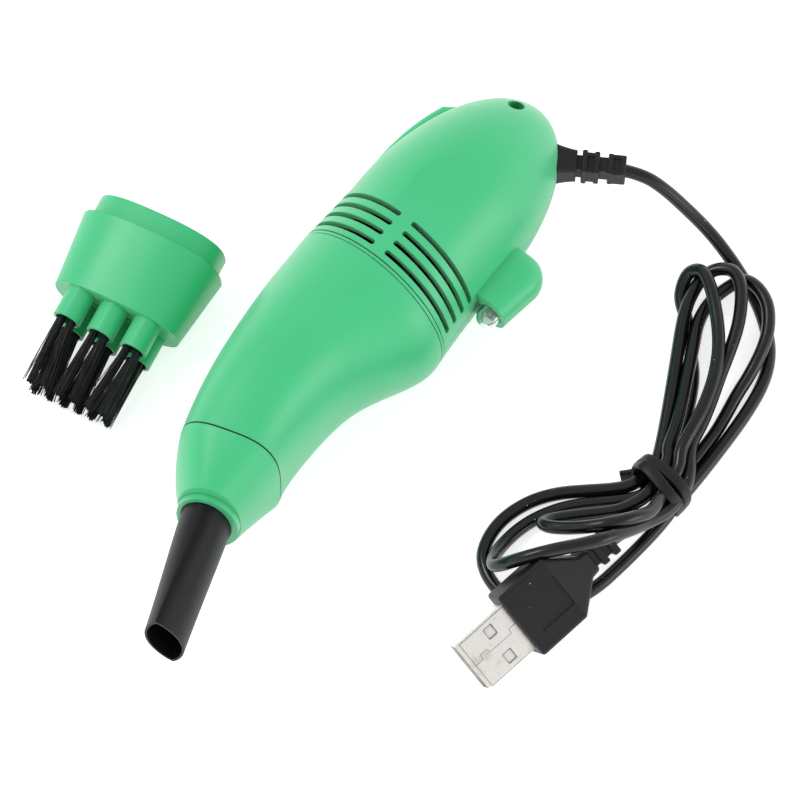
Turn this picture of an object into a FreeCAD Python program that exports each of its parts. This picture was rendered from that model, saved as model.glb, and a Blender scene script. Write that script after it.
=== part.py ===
"""Desktop mini vacuum cleaner: a cable-powered hand vacuum lying on its side, its brush head beside it.

Millimetres.  X runs along the motor axis from the nozzle (-X) to the cable (+X), Y points to the
switch side and Z up from the table to the upper side face.  The origin is the middle of the flat on
the lower side face, straight below the motor axis, so z = 0 is the table.
"""
import FreeCAD
import Part
import math
import os

V = FreeCAD.Vector
TINY = 0.01

# ---- driving dimensions ------------------------------------------------------------------------
AXIS_Z = 20.0            # motor axis above the resting flat, half the width over both side flats
RING_X = -27.0           # joint line between the dust chamber and the motor housing
RING_R = 19.5            # outer radius of the body at that joint
WALL = 1.5               # moulded wall of housing, chamber, cap and brush
FIT = 0.1                # clearance of a push fit, per side
GAP = 0.3                # clearance between parts that only lie beside each other
SEAM_GAP = 0.1           # parting gap between the two housing halves

# motor housing
RING_W = 1.1             # visible rim of the fan cover between chamber and housing
GROOVE_W = 0.2           # grooves on both sides of that rim
GROOVE_DEEP = 0.7
MID_X = -5.0             # start of the rounded rear end
MID_SHIFT = 1.25         # how far the housing's sections sit towards the switch there
MID_H = 18.4             # half height of the housing there
MID_W = 20.5             # half width of the housing there, before the side flats
DOME_LEN = 35.8          # length of the rounded rear end
DOME_FULLNESS = 2.0      # 2 is an ellipse seen from above, more is blunter
VENT_FIRST = 3.0         # first vent slot behind the joint line
VENT_PITCH = 2.85
VENT_ROWS = 4
VENT_W = 1.25
VENT_BRIDGE = 8.6        # angle between the slots over the side faces, degrees
VENT_END = 13.0          # angle left uncut at the parting plane, degrees

# tail lamp hump under the body
HUMP_FRONT = -13.0
HUMP_REAR = 2.6
HUMP_BOTTOM = -25.8      # at the rear
HUMP_SLOPE = 0.8         # how much higher the bottom is at the front
HUMP_HALF = 4.4
HUMP_ROUNDING = 4.0      # the hump is almost fully round below
HUMP_CORNER = 6.0        # corner at its rear, seen from the side face
HUMP_WALL = 0.9
LED_D = 5.0
LED_Y = -21.3
LED_LEN = 5.5
LED_RIM = 0.15           # rim behind the lamp's lens
LED_LEAD = 3.5
LED_PITCH = 2.54         # distance between the lamp's leads
RESISTOR_LEN = 4.2
RESISTOR_R = 1.1

# switch seat on the top side
SEAT_HALF = 6.0          # half width of the raised switch seat
SEAT_ROUNDING = 1.6
SEAT_START = -6.0
SEAT_END = 19.4
SEAT_CROWN = 0.5
SEAT_Y = 19.0            # height of the seat's top at the switch
SWITCH_X = 10.5
SWITCH_TILT = -7.0       # slope of the seat, degrees
SWITCH_TRAVEL = 3.0
SWITCH_SKIN = 2.4        # thickness of the seat over the switch pocket
SWITCH_PLATE_HALF = 6.6  # half length of the plate over the slide switch
SWITCH_PLATE_Y = -3.7    # its face below the seat
CASE_BACK = -7.6         # back of the slide switch below the seat
PIN_END = -8.7
PIN_PITCH = 2.5
WIRE_D = 0.9
KNOB_LEN = 4.6
KNOB_W = 4.4
KNOB_RISE = 0.9

# front chamber and cap
CHAMBER_BORE = 17.3      # radius of the chamber's rear mouth
BORE_DEPTH = 6.0
BORE_STEP = 0.3          # shoulder at the bottom of that mouth
JOINT_X = -75.4          # middle of the joint between chamber and cap
JOINT_Y = -2.7
JOINT_H = 11.3           # half height and half width of the body at that joint
JOINT_W = 16.6
JOINT_DROOP = 18.0       # tilt of the joint plane, degrees
JOINT_POWER = 3.0        # 2 is an ellipse, more is squarer
PLUG_LEN = 5.0           # depth of the plug that cap and brush push in
MOUTH_STEP = 0.2         # small shoulder behind the chamber's front mouth
NOSE_DROOP = 23.5        # tilt of the crevice tube, degrees
COLLAR_X = -88.7
COLLAR_Y = -7.3
CAP_MID_H = 9.1          # half height and half width half way along the cap
CAP_MID_W = 14.5
CAP_MID_POWER = 2.4
CAP_GROOVE_W = 0.35      # shadow groove between chamber and cap
CAP_GROOVE_DEEP = 0.8
RIM_H = 6.8              # front rim of the cap, half height and half width
RIM_W = 12.6
COLLAR_LEN = 1.5
COLLAR_WALL = 1.0

# crevice tube
TUBE_H = 5.4             # half height and half width where it leaves the cap
TUBE_W = 8.8
TUBE_MOUTH_H = 4.1
TUBE_MOUTH_TURN = 10.0   # the pinched mouth is turned about the tube, degrees
TUBE_OUT = 28.4          # length outside the cap
TUBE_IN = 6.5            # length inside the cap
TUBE_WALL = 0.9
TUBE_LIP = 0.5           # wall at the mouth

# fan and motor
FAN_R = 15.0
FAN_HUB_R = 3.6
FAN_BLADES = 12
FAN_FRONT = -23.6
FAN_BACK = -14.8
BLADE_T = 0.9
EYE_R = 8.0              # air inlet of the fan cover
MOTOR_FRONT = -12.6
MOTOR_LEN = 22.0
MOTOR_R = 10.0
MOTOR_FLAT = 7.7         # half width over the motor's flats
CAN_T = 0.9
END_CAP_LEN = 3.0
BULKHEAD_T = 1.2
SHAFT_R = 1.0
SHAFT_CLEAR = 0.06
BOSS_R = 3.0             # bearing boss on the motor's front
BOSS_LEN = 1.6

# filter
FILTER_R = 15.5
FILTER_TIP_R = 10.6
FILTER_RIM = 1.8
FILTER_LEN = 6.6
FILTER_RIBS = 6

# housing screw
SCREW_X = 24.6
SCREW_Y = 3.0
SCREW_HEAD_R = 1.6
SCREW_R = 0.9
SCREW_LEN = 9.0
SCREW_SEAT = 23.0

# cable, strain relief and plug
CABLE_D = 2.9
RELIEF_ROOT = (23.9, -8.6)
RELIEF_TURN = -56.0      # direction of the strain relief in the XY plane, degrees
RELIEF_LEN = 15.2
RELIEF_NECK = 2.3        # half side of the square neck in the housing wall
RELIEF_FLARE = 3.7       # half side of the flare outside the wall
RELIEF_COLLAR = 4.6      # where the flare ends
RELIEF_RIBS = (5.7, 8.35, 11.3, 14.05)
RELIEF_RIB = 2.75        # half side of the first rib
RELIEF_RIB_STEP = 0.12   # each rib is smaller by this
RELIEF_RIB_W = 1.15
RELIEF_CORE = 1.75       # half side of the core
SHELL_W = 12.0
SHELL_H = 4.5
SHELL_T = 0.3
SHELL_OUT = 13.0
SHELL_IN = 5.0
WINDOW_X = 4.2           # latch windows of the shell, from the mould's face
WINDOW_LEN = 2.2
WINDOW_Y = 3.35
WINDOW_W = 2.5
RECESS_X = -12.1         # plain square recess in the mould
RECESS_LEN = 8.9
RECESS_W = 7.7
RECESS_DEEP = 0.35
MOULD_W = 16.0
MOULD_H = 8.0
MOULD_SHOULDER = 12.3    # where its sides start to draw in
MOULD_WAIST = 18.8       # where they meet the neck
MOULD_LEN = 21.2
NECK_W = 5.4
NECK_H = 5.0
PLUG_ROOT = V(-61.3, -68.0, 8.05)
PLUG_AXIS = V(-0.983, 0.135, -0.131)
PLUG_UP = V(-0.182, -0.545, 0.817)
NECK_LEN = 6.0
NECK_RIB = 1.7           # length of one rib of the neck

# brush head
BRUSH_TURN = 12.9        # turn of the brush about the upright, degrees
BRUSH_TILT = 7.0         # it rests on its rear rim and its bristles, nose down, degrees
BRUSH_AT = V(-43.8, 47.0, JOINT_H * math.cos(math.radians(BRUSH_TILT)))
BRUSH_LEN = 16.5
BRUSH_TIP_H = 8.0
BRUSH_TIP_W = 14.8
BRUSH_SLOT = 0.5         # half height of the air slot between the rows
TUFT_TUBE_R = 3.1
TUFT_TUBE_LEN = 7.0
TUFT_PITCH = 8.0
TUFT_ROWS = 7.4          # distance between the two rows of tufts
TUFT_R = 2.35
TUFT_TIP_R = 2.6
TUFT_OUT = 15.5
TUFT_IN = 3.5

# free stretch of the cable, from the strain relief down to the bundle on the table
LEAD_POINTS = [
    (35.8, -26.5, 19.1), (38.1, -32.7, 15.7), (39.0, -38.9, 10.5), (38.8, -45.4, 5.6), (37.4, -52.0, 2.6),
]
LEAD_END = (34.8, -57.6, 1.6)
# outline of the tied bundle seen from above
BUNDLE_OUTLINE = [
    (31.0, -40.6), (36.9, -46.6), (38.7, -54.5), (34.3, -64.3), (24.0, -71.1), (8.0, -73.8),
    (-9.0, -75.7), (-20.5, -75.7), (-32.0, -76.4), (-46.0, -74.5), (-56.0, -66.0), (-57.2, -56.0),
    (-51.5, -47.5), (-41.0, -45.6), (-31.0, -49.6), (-21.0, -60.6), (-9.5, -63.3), (4.0, -56.0),
    (16.0, -45.0), (23.5, -40.2),
]
BUNDLE_H = 7.0
TIE_X = -15.0
TIE_W = 4.4
TIE_T = 1.05
TIE_Y = (-76.8, -62.2)


# ---- shared shapes -----------------------------------------------------------------------------
def oval_points(half_h, half_w, power, count=32):
    """Points of a rounded section: (towards the switch, towards the upper side)."""
    points = []
    for k in range(count):
        a = 2 * math.pi * k / count
        c, s = math.cos(a), math.sin(a)
        reach = (abs(c) ** power + abs(s) ** power) ** (-1 / power)
        points.append((half_h * reach * c, half_w * reach * s))
    return points


def closed_curve(points):
    curve = Part.BSplineCurve()
    curve.interpolate(points, PeriodicFlag=True)
    return Part.Wire([curve.toShape()])


def section(x, y, half_h, half_w, power=2.0, droop=0.0):
    """Closed section of the body about (x, y); droop tips its plane towards the nozzle's tilt."""
    a = math.radians(droop)
    points = []
    for t, w in oval_points(half_h, half_w, power):
        points.append(V(x - t * math.sin(a), y + t * math.cos(a), AXIS_Z + w))
    return closed_curve(points)


def loft(wires):
    return Part.makeLoft(wires, True, False)


def slab(x0, x1, reach=60.0):
    return Part.makeBox(x1 - x0, 2 * reach, 2 * reach, V(x0, -reach, AXIS_Z - reach))


def rod(x0, x1, radius, y=0.0, z=AXIS_Z):
    return Part.makeCylinder(radius, x1 - x0, V(x0, y, z), V(1, 0, 0))


def pipe(x0, x1, outer, inner):
    return rod(x0, x1, outer).cut(rod(x0 - 1, x1 + 1, inner))


def fuse(shapes):
    return shapes[0].multiFuse(shapes[1:]).removeSplitter()


def carve(shape, cutters):
    """Cut one after another, which keeps lofted forms sound."""
    for cutter in cutters:
        shape = shape.cut(cutter)
    return shape


def upper_half(gap=0.0):
    return Part.makeBox(300, 300, 60, V(-150, -150, AXIS_Z + gap))


def lower_half(gap=0.0):
    return Part.makeBox(300, 300, 60, V(-150, -150, AXIS_Z - gap - 60))


def placed(shape, x_axis, z_axis, at):
    """Move a shape built about the origin so that its X and Z follow the given directions."""
    x_axis = V(x_axis).normalize()
    z_axis = V(z_axis).normalize()
    y_axis = z_axis.cross(x_axis).normalize()
    z_axis = x_axis.cross(y_axis)
    m = FreeCAD.Matrix(
        x_axis.x, y_axis.x, z_axis.x, at.x,
        x_axis.y, y_axis.y, z_axis.y, at.y,
        x_axis.z, y_axis.z, z_axis.z, at.z,
        0, 0, 0, 1,
    )
    moved = shape.copy()
    moved.Placement = FreeCAD.Placement(m)
    return moved


def block(x0, x1, y0, y1, z0, z1):
    return Part.makeBox(x1 - x0, y1 - y0, z1 - z0, V(x0, y0, z0))


def rounded_block(x0, x1, y0, y1, z0, z1, radius):
    solid = block(x0, x1, y0, y1, z0, z1)
    return solid.makeFillet(radius, solid.Edges)


# ---- motor housing -----------------------------------------------------------------------------
def housing_station(x):
    """Centre shift, half height and half width of the housing at x."""
    if x <= MID_X:
        t = (x - RING_X) / (MID_X - RING_X)
        ease = t * (2 - t)
        return (MID_SHIFT * t, RING_R + (MID_H - RING_R) * ease, RING_R + (MID_W - RING_R) * ease)
    u = min((x - MID_X) / DOME_LEN, 0.9995)
    full = (1 - u ** DOME_FULLNESS) ** (1 / DOME_FULLNESS)
    return (MID_SHIFT, MID_H * math.sqrt(1 - u * u), MID_W * full)


def housing_form(inset):
    """Outer form of the rear housing, or its inner form when inset by a wall."""
    steps = [0, 0.12, 0.3, 0.5, 0.75, 1.0]
    stations = [RING_X + (MID_X - RING_X) * s for s in steps]
    reach = DOME_LEN - inset
    angles = [16, 30, 42, 53, 63, 72, 79, 85, 89]
    stations += [MID_X + reach * math.sin(math.radians(a)) for a in angles]
    wires = []
    for x in stations:
        shift, half_h, half_w = housing_station(MID_X + (x - MID_X) * (DOME_LEN / reach if x > MID_X else 1))
        scale = (half_h - inset) / half_h if x <= MID_X else (MID_H - inset) / MID_H
        half_w = min(half_w, AXIS_Z) - inset if inset and x <= MID_X else half_w * scale
        wires.append(section(x, shift, half_h * scale, half_w))
    return loft(wires)


def side_flats(shape, inset=0.0):
    return shape.common(Part.makeBox(300, 300, 2 * (AXIS_Z - inset), V(-150, -150, inset)))


def hump_solid(inset):
    """Lamp hump: a rounded fin under the housing."""
    front = HUMP_FRONT + inset
    rear = HUMP_REAR - inset
    bottom = HUMP_BOTTOM + inset
    half = HUMP_HALF - inset
    corner = HUMP_CORNER - inset
    base = -10.0
    p = [
        V(front, base, 0), V(front, bottom + HUMP_SLOPE, 0), V(rear - corner, bottom, 0),
        V(rear - corner * 0.29, bottom + corner * 0.29, 0), V(rear, bottom + corner, 0), V(rear, base, 0),
    ]
    edges = [
        Part.LineSegment(p[0], p[1]).toShape(),
        Part.LineSegment(p[1], p[2]).toShape(),
        Part.Arc(p[2], p[3], p[4]).toShape(),
        Part.LineSegment(p[4], p[5]).toShape(),
        Part.LineSegment(p[5], p[0]).toShape(),
    ]
    face = Part.Face(Part.Wire(edges))
    face.translate(V(0, 0, AXIS_Z - half))
    solid = face.extrude(V(0, 0, 2 * half))
    rounding = HUMP_ROUNDING - inset
    picked = []
    for edge in solid.Edges:
        box = edge.BoundBox
        flat = box.ZLength < TINY
        if flat and box.YMin < bottom + corner + TINY and box.YMax < base - TINY:
            picked.append(edge)
    return solid.makeFillet(rounding, picked)


def seat_solid():
    """Raised flat seat around the switch."""
    mid = SWITCH_X / 2
    base = SEAT_Y - 11
    p = [
        V(SEAT_START, SEAT_Y, 0), V(mid, SEAT_Y + SEAT_CROWN, 0), V(SEAT_END - 2.2, SEAT_Y - 1.8, 0),
        V(SEAT_END, SEAT_Y - 4.7, 0), V(SEAT_END, base, 0), V(SEAT_START, base, 0),
    ]
    edges = [
        Part.Arc(p[0], p[1], p[2]).toShape(),
        Part.LineSegment(p[2], p[3]).toShape(),
        Part.LineSegment(p[3], p[4]).toShape(),
        Part.LineSegment(p[4], p[5]).toShape(),
        Part.LineSegment(p[5], p[0]).toShape(),
    ]
    face = Part.Face(Part.Wire(edges))
    face.translate(V(0, 0, AXIS_Z - SEAT_HALF))
    solid = face.extrude(V(0, 0, 2 * SEAT_HALF))
    top = [e for e in solid.Edges if e.BoundBox.YMin > base + 1 and e.BoundBox.ZLength < TINY]
    return solid.makeFillet(SEAT_ROUNDING, top)


def on_seat(shape):
    """Put a shape built about the switch's middle on the sloping seat."""
    moved = shape.copy()
    moved.rotate(V(0, 0, 0), V(0, 0, 1), SWITCH_TILT)
    moved.translate(V(SWITCH_X, SEAT_Y, AXIS_Z))
    return moved


def vent_cutter(x, start, sweep):
    """Slot round the housing from one angle, measured from -Y towards +Z, with round ends."""
    outer, inner, half = RING_R + 4, RING_R - 4, VENT_W / 2
    trim = math.degrees(half / RING_R)
    first = math.radians(start + trim - 180)
    turn = FreeCAD.Rotation(V(1, 0, 0), start + trim - 180)
    radial = turn.multVec(V(0, 1, 0))
    ring = Part.makeCylinder(outer, VENT_W, V(0, 0, 0), V(0, 0, 1), sweep - 2 * trim)
    ring = ring.cut(Part.makeCylinder(inner, VENT_W + 2, V(0, 0, -1)))
    ring = placed(ring, radial, V(1, 0, 0), V(x - half, 0, AXIS_Z))
    ends = []
    for angle in (first, first + math.radians(sweep - 2 * trim)):
        way = V(0, math.cos(angle), math.sin(angle))
        ends.append(Part.makeCylinder(half, outer - inner, V(x, 0, AXIS_Z) + way * inner, way))
    return [ring] + ends


def vent_cutters():
    sweep = 90 - VENT_BRIDGE / 2 - VENT_END
    starts = [VENT_END, 90 + VENT_BRIDGE / 2, 180 + VENT_END, 270 + VENT_BRIDGE / 2]
    cutters = []
    for row in range(VENT_ROWS):
        for start in starts:
            cutters += vent_cutter(RING_X + VENT_FIRST + row * VENT_PITCH, start, sweep)
    return cutters


def relief_axis():
    a = math.radians(RELIEF_TURN)
    return V(math.cos(a), math.sin(a), 0)


def relief_placed(shape):
    return placed(shape, relief_axis(), V(0, 0, 1), V(RELIEF_ROOT[0], RELIEF_ROOT[1], AXIS_Z))


def screw_rod(z0, z1, radius):
    return Part.makeCylinder(radius, z1 - z0, V(SCREW_X, SCREW_Y, z0))


def housing_shell():
    """Both halves in one: walls, hump, seat, ribs and boss, before the openings are cut."""
    form = side_flats(housing_form(0))
    outer = form.fuse([hump_solid(0), seat_solid()])
    inner = side_flats(housing_form(WALL))
    shell = outer.cut(inner.fuse(hump_solid(HUMP_WALL)))
    rib_x = MOTOR_FRONT + GAP
    rib = form.common(slab(rib_x, rib_x + 1.2)).cut(rod(rib_x - 1, rib_x + 3, RING_R - 4.6))
    saddle_x = MOTOR_FRONT + MOTOR_LEN - 4
    saddle = form.common(slab(saddle_x, saddle_x + 1.6)).cut(motor_form(saddle_x - 1, saddle_x + 3, GAP))
    boss = screw_rod(2, 2 * AXIS_Z - 2, 3.2).common(form)
    return shell.fuse([rib, saddle, boss])


def housing_openings():
    cuts = [slab(RING_X - 5, RING_X + RING_W)]
    cuts += vent_cutters()
    cuts.append(rod(HUMP_FRONT - 2, HUMP_FRONT + 3, LED_D / 2 + FIT, LED_Y))
    cuts.append(screw_rod(SCREW_SEAT, 2 * AXIS_Z, SCREW_HEAD_R + 0.2))
    cuts.append(screw_rod(AXIS_Z - 1, SCREW_SEAT + 1, SCREW_R + FIT))
    cuts.append(screw_rod(SCREW_SEAT - SCREW_LEN, AXIS_Z, SCREW_R))
    slot = KNOB_LEN + SWITCH_TRAVEL + 2 * GAP
    travel = SWITCH_TRAVEL / 2
    cuts.append(on_seat(block(travel - slot / 2, travel + slot / 2, -9, 4, -KNOB_W / 2 - GAP, KNOB_W / 2 + GAP)))
    cuts.append(on_seat(block(-6.6, 9.4, -9, -SWITCH_SKIN, -4.6, 4.6)))
    neck = RELIEF_NECK + FIT
    cuts.append(relief_placed(block(-6, 4, -neck, neck, -neck, neck)))
    return cuts


def switch_posts():
    """Two posts under the seat that the switch plate hangs from."""
    travel = SWITCH_TRAVEL / 2
    posts = []
    for side in (-1, 1):
        x = travel + side * (SWITCH_PLATE_HALF - 0.5)
        posts.append(on_seat(block(x - 0.5, x + 0.5, SWITCH_PLATE_Y + TINY, -SWITCH_SKIN + 0.3, -1.9, 1.9)))
    return posts


def build_housing():
    shell = housing_shell().cut(housing_openings()).fuse(switch_posts())
    left = shell.common(upper_half(SEAM_GAP / 2))
    right = shell.common(lower_half(SEAM_GAP / 2))
    return {"housing_left": biggest(left), "housing_right": biggest(right)}


def biggest(shape):
    return max(shape.Solids, key=lambda s: s.Volume)


def build_housing_screw():
    head = screw_rod(SCREW_SEAT, SCREW_SEAT + 1.2, SCREW_HEAD_R)
    head = head.makeFillet(0.4, [e for e in head.Edges if e.BoundBox.ZMin > SCREW_SEAT + 1])
    for turn in (0, 90):
        slot = block(SCREW_X - 1.1, SCREW_X + 1.1, SCREW_Y - 0.25, SCREW_Y + 0.25, SCREW_SEAT + 0.6, SCREW_SEAT + 2)
        slot.rotate(V(SCREW_X, SCREW_Y, 0), V(0, 0, 1), turn)
        head = head.cut(slot)
    return {"housing_screw": fuse([head, screw_rod(SCREW_SEAT - SCREW_LEN + TINY, SCREW_SEAT, SCREW_R)])}


# ---- fan cover, filter, fan --------------------------------------------------------------------
def build_fan_cover():
    """Round plate between chamber and housing: rim, front spigot, rear spigot and guarded eye."""
    spigot_r = CHAMBER_BORE - FIT
    base = side_flats(rod(RING_X + 0.06, RING_X + RING_W - 0.06, RING_R - GROOVE_DEEP), GROOVE_DEEP)
    rim = side_flats(rod(RING_X + GROOVE_W, RING_X + RING_W - GROOVE_W, RING_R - 0.05))
    front = rod(RING_X - 4.5, RING_X + 0.2, spigot_r)
    rear = side_flats(rod(RING_X + 0.5, RING_X + RING_W + 1.2, RING_R - WALL - GAP), WALL + GAP)
    solid = fuse([base, rim, front, rear])
    solid = solid.cut(rod(RING_X - 6, RING_X + 0.1, FILTER_R + FIT))
    solid = solid.cut(rod(RING_X + 1.4, RING_X + 6, FAN_R + 1.2))
    solid = solid.cut(rod(RING_X - 1, RING_X + 3, EYE_R))
    bars = [rod(RING_X + 0.1, RING_X + 1.4, 2.2)]
    for k in range(3):
        bar = block(RING_X + 0.1, RING_X + 1.4, -EYE_R - 0.5, EYE_R + 0.5, AXIS_Z - 0.6, AXIS_Z + 0.6)
        bar.rotate(V(0, 0, AXIS_Z), V(1, 0, 0), 60 * k)
        bars.append(bar)
    return {"fan_cover": fuse([solid] + bars)}


def cone_x(x0, x1, r0, r1):
    return Part.makeCone(r0, r1, x1 - x0, V(x0, 0, AXIS_Z), V(1, 0, 0))


def build_filter():
    """Ribbed basket that pushes into the fan cover, lined with a cloth cup."""
    rear = RING_X - GAP
    mid = rear - FILTER_RIM
    front = rear - FILTER_LEN
    rim = pipe(mid, rear, FILTER_R, FILTER_R - 1.4)
    cage = cone_x(front, mid, FILTER_TIP_R, FILTER_R).cut(cone_x(front, mid, FILTER_TIP_R - 1, FILTER_R - 1))
    windows = []
    for k in range(FILTER_RIBS):
        window = block(front + 1, mid - 0.6, 4, 20, AXIS_Z - 5.2, AXIS_Z + 5.2)
        window.rotate(V(0, 0, AXIS_Z), V(1, 0, 0), 360 / FILTER_RIBS * k + 30)
        windows.append(window)
    ring = pipe(front - 0.8, front, FILTER_TIP_R, FILTER_TIP_R - 1.6)
    frame = fuse([rim, cage.cut(windows), ring])
    inner_tip, inner_rim = FILTER_TIP_R - 1 - GAP, FILTER_R - 1.4 - GAP
    cup = cone_x(front + GAP, mid, inner_tip, inner_rim)
    cup = cup.fuse(rod(mid, rear, inner_rim)).cut(cone_x(front + GAP + 0.5, rear + 0.1, inner_tip - 0.6, inner_rim - 0.6))
    return {"filter_basket": frame, "filter_cloth": biggest(cup)}


def blade(angle):
    """One swept fan blade standing on the back plate."""
    root = V(0, FAN_HUB_R - 0.4, 0)
    tip = V(0, FAN_R * 0.9, FAN_R * 0.42)
    bow = V(0, FAN_R * 0.62, FAN_R * 0.06)
    arc = Part.Arc(root, bow, tip).toShape()
    back = V(0, 0, BLADE_T)
    top = Part.Arc(tip + back * 0.6, bow + back, root + back).toShape()
    ends = [Part.LineSegment(tip, tip + back * 0.6).toShape(), Part.LineSegment(root + back, root).toShape()]
    face = Part.Face(Part.Wire([arc, ends[0], top, ends[1]]))
    solid = face.extrude(V(FAN_BACK - FAN_FRONT - 0.6, 0, 0))
    solid.translate(V(FAN_FRONT, 0, AXIS_Z))
    solid.rotate(V(0, 0, AXIS_Z), V(1, 0, 0), angle)
    return solid


def build_fan():
    plate = rod(FAN_BACK - 0.9, FAN_BACK, FAN_R)
    hub = rod(FAN_FRONT + 0.8, MOTOR_FRONT - BOSS_LEN - GAP, FAN_HUB_R)
    blades = [blade(360 / FAN_BLADES * k) for k in range(FAN_BLADES)]
    fan = fuse([plate, hub] + blades).common(rod(FAN_FRONT - 1, FAN_BACK + 2, FAN_R))
    fan = fan.cut(rod(FAN_FRONT - 1, FAN_BACK + 2, SHAFT_R))
    shaft = rod(FAN_FRONT + 1.4, MOTOR_FRONT + MOTOR_LEN + END_CAP_LEN + 0.8, SHAFT_R)
    return {"fan_wheel": fan, "motor_shaft": shaft}


# ---- motor -------------------------------------------------------------------------------------
def motor_form(x0, x1, grow=0.0):
    flats = MOTOR_FLAT + grow
    return rod(x0, x1, MOTOR_R + grow).common(block(x0, x1, -20, 20, AXIS_Z - flats, AXIS_Z + flats))


def build_motor():
    end = MOTOR_FRONT + MOTOR_LEN
    hole = rod(MOTOR_FRONT - 9, end + 9, SHAFT_R + SHAFT_CLEAR)
    can = fuse([motor_form(MOTOR_FRONT, end), rod(MOTOR_FRONT - BOSS_LEN, MOTOR_FRONT + 0.2, BOSS_R)])
    can = can.cut([motor_form(MOTOR_FRONT + CAN_T, end + 1, -CAN_T), hole])
    cap = fuse([motor_form(end, end + END_CAP_LEN, -0.2), motor_form(end - 2, end, -CAN_T - 0.05)])
    cap = cap.cut([hole, rod(end - 3, end + 0.6, 5.2)])
    magnet = pipe(MOTOR_FRONT + 4, end - 4, MOTOR_R - CAN_T - 0.05, 7.25)
    magnets = magnet.common(Part.makeCompound([
        block(-50, 50, 4, 12, AXIS_Z - 6.5, AXIS_Z + 6.5), block(-50, 50, -12, -4, AXIS_Z - 6.5, AXIS_Z + 6.5),
    ]))
    return {"motor_can": can, "motor_end_cap": cap, "motor_magnets": magnets, "motor_terminals": terminals(end)}


def terminals(end):
    tabs = []
    for side in (-1, 1):
        y = side * 6.0
        tabs.append(block(end + END_CAP_LEN, end + END_CAP_LEN + 3, y - 0.9, y + 0.9, AXIS_Z - 0.2, AXIS_Z + 0.2))
    return Part.makeCompound(tabs)


def build_rotor():
    """Three-pole armature with its commutator, on the shaft."""
    end = MOTOR_FRONT + MOTOR_LEN
    core = rod(MOTOR_FRONT + 5, end - 5, MOTOR_FLAT - CAN_T - GAP)
    for k in range(3):
        slot = block(-60, 60, 3.2, 5.4, AXIS_Z - 3.4, AXIS_Z + 3.4)
        neck = block(-60, 60, 5, 9, AXIS_Z - 0.7, AXIS_Z + 0.7)
        for cut in (slot, neck):
            cut.rotate(V(0, 0, AXIS_Z), V(1, 0, 0), 120 * k)
            core = core.cut(cut)
    commutator = rod(end - 5, end + 0.2, 2.6)
    armature = fuse([core, commutator]).cut(rod(-60, 60, SHAFT_R))
    return {"motor_armature": armature}


def build_bulkhead():
    """Plate that carries the motor, seated against the housing rib."""
    x1 = MOTOR_FRONT - TINY
    plate = side_flats(housing_form(WALL + GAP / 2)).common(slab(x1 - BULKHEAD_T, x1))
    plate = plate.cut(rod(x1 - 5, x1 + 5, BOSS_R + FIT))
    for side in (-1, 1):
        plate = plate.cut(rod(x1 - 5, x1 + 5, 0.9, side * 6.2))
    screws = []
    for side in (-1, 1):
        head = rod(x1 - BULKHEAD_T - 0.6, x1 - BULKHEAD_T, 1.4, side * 6.2)
        screws.append(fuse([head, rod(x1 - BULKHEAD_T, x1, 0.8, side * 6.2)]))
    return {"motor_bulkhead": plate, "motor_screws": Part.makeCompound(screws)}


# ---- switch ------------------------------------------------------------------------------------
def build_switch():
    half = KNOB_LEN / 2
    button = block(-half, half, -2.6, KNOB_RISE, -KNOB_W / 2, KNOB_W / 2)
    top = [e for e in button.Edges if e.BoundBox.YMin > KNOB_RISE - TINY]
    button = button.makeFillet(0.5, top)
    for k in (-1, 0, 1):
        groove = block(k * 1.2 - 0.25, k * 1.2 + 0.25, KNOB_RISE - 0.3, KNOB_RISE + 1, -5, 5)
        button = button.cut(groove)
    flange = block(-3.6, 3.6, -3.4, -2.5, -3.4, 3.4)
    socket = block(-0.85, 0.85, -4, -1.4, -0.85, 0.85)
    knob = fuse([button, flange]).cut(socket)
    lever = block(-0.75, 0.75, -5.0, -1.5, -0.75, 0.75)
    travel = SWITCH_TRAVEL / 2
    case = block(travel - 4.3, travel + 4.3, CASE_BACK, SWITCH_PLATE_Y - 0.3, -1.9, 1.9)
    case = case.cut(block(travel - 2.6, travel + 2.6, -5.2, -3, -0.95, 0.95))
    pins = []
    for k in (-1, 0, 1):
        x = travel + k * PIN_PITCH
        pins.append(block(x - 0.25, x + 0.25, PIN_END, CASE_BACK, -0.5, 0.5))
    plate_half, plate_y = SWITCH_PLATE_HALF, SWITCH_PLATE_Y
    plate = block(travel - plate_half, travel + plate_half, plate_y - 0.3, plate_y, -1.9, 1.9)
    plate = plate.cut(block(travel - 2.6, travel + 2.6, -5, -3, -0.95, 0.95))
    return {
        "switch_knob": on_seat(knob),
        "switch_lever": on_seat(lever),
        "switch_case": on_seat(case),
        "switch_plate": on_seat(plate),
        "switch_pins": Part.makeCompound([on_seat(p) for p in pins]),
    }


# ---- lamp --------------------------------------------------------------------------------------
def build_led():
    r, half = LED_D / 2, 0.25
    rim_x = HUMP_FRONT + HUMP_WALL + 0.1
    back_x = rim_x + 1.0
    tip_x = back_x - LED_LEN
    lens = fuse([
        rod(tip_x + r, back_x, r, LED_Y),
        rod(rim_x, back_x, r + LED_RIM, LED_Y),
        Part.makeSphere(r, V(tip_x + r, LED_Y, AXIS_Z)),
    ])
    leads = []
    for side in (-1, 1):
        z = AXIS_Z + side * LED_PITCH / 2
        leads.append(block(back_x, back_x + LED_LEAD, LED_Y - half, LED_Y + half, z - half, z + half))
    x0, z0 = back_x + LED_LEAD, AXIS_Z + LED_PITCH / 2
    body = rod(x0 + 1.5, x0 + 1.5 + RESISTOR_LEN, RESISTOR_R, LED_Y + 1.2, z0)
    tail = block(x0, x0 + 1.6, LED_Y - half, LED_Y + 1.4, z0 - half, z0 + half)
    return {"led": lens, "led_leads": Part.makeCompound(leads), "led_resistor": fuse([body, tail])}


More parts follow.
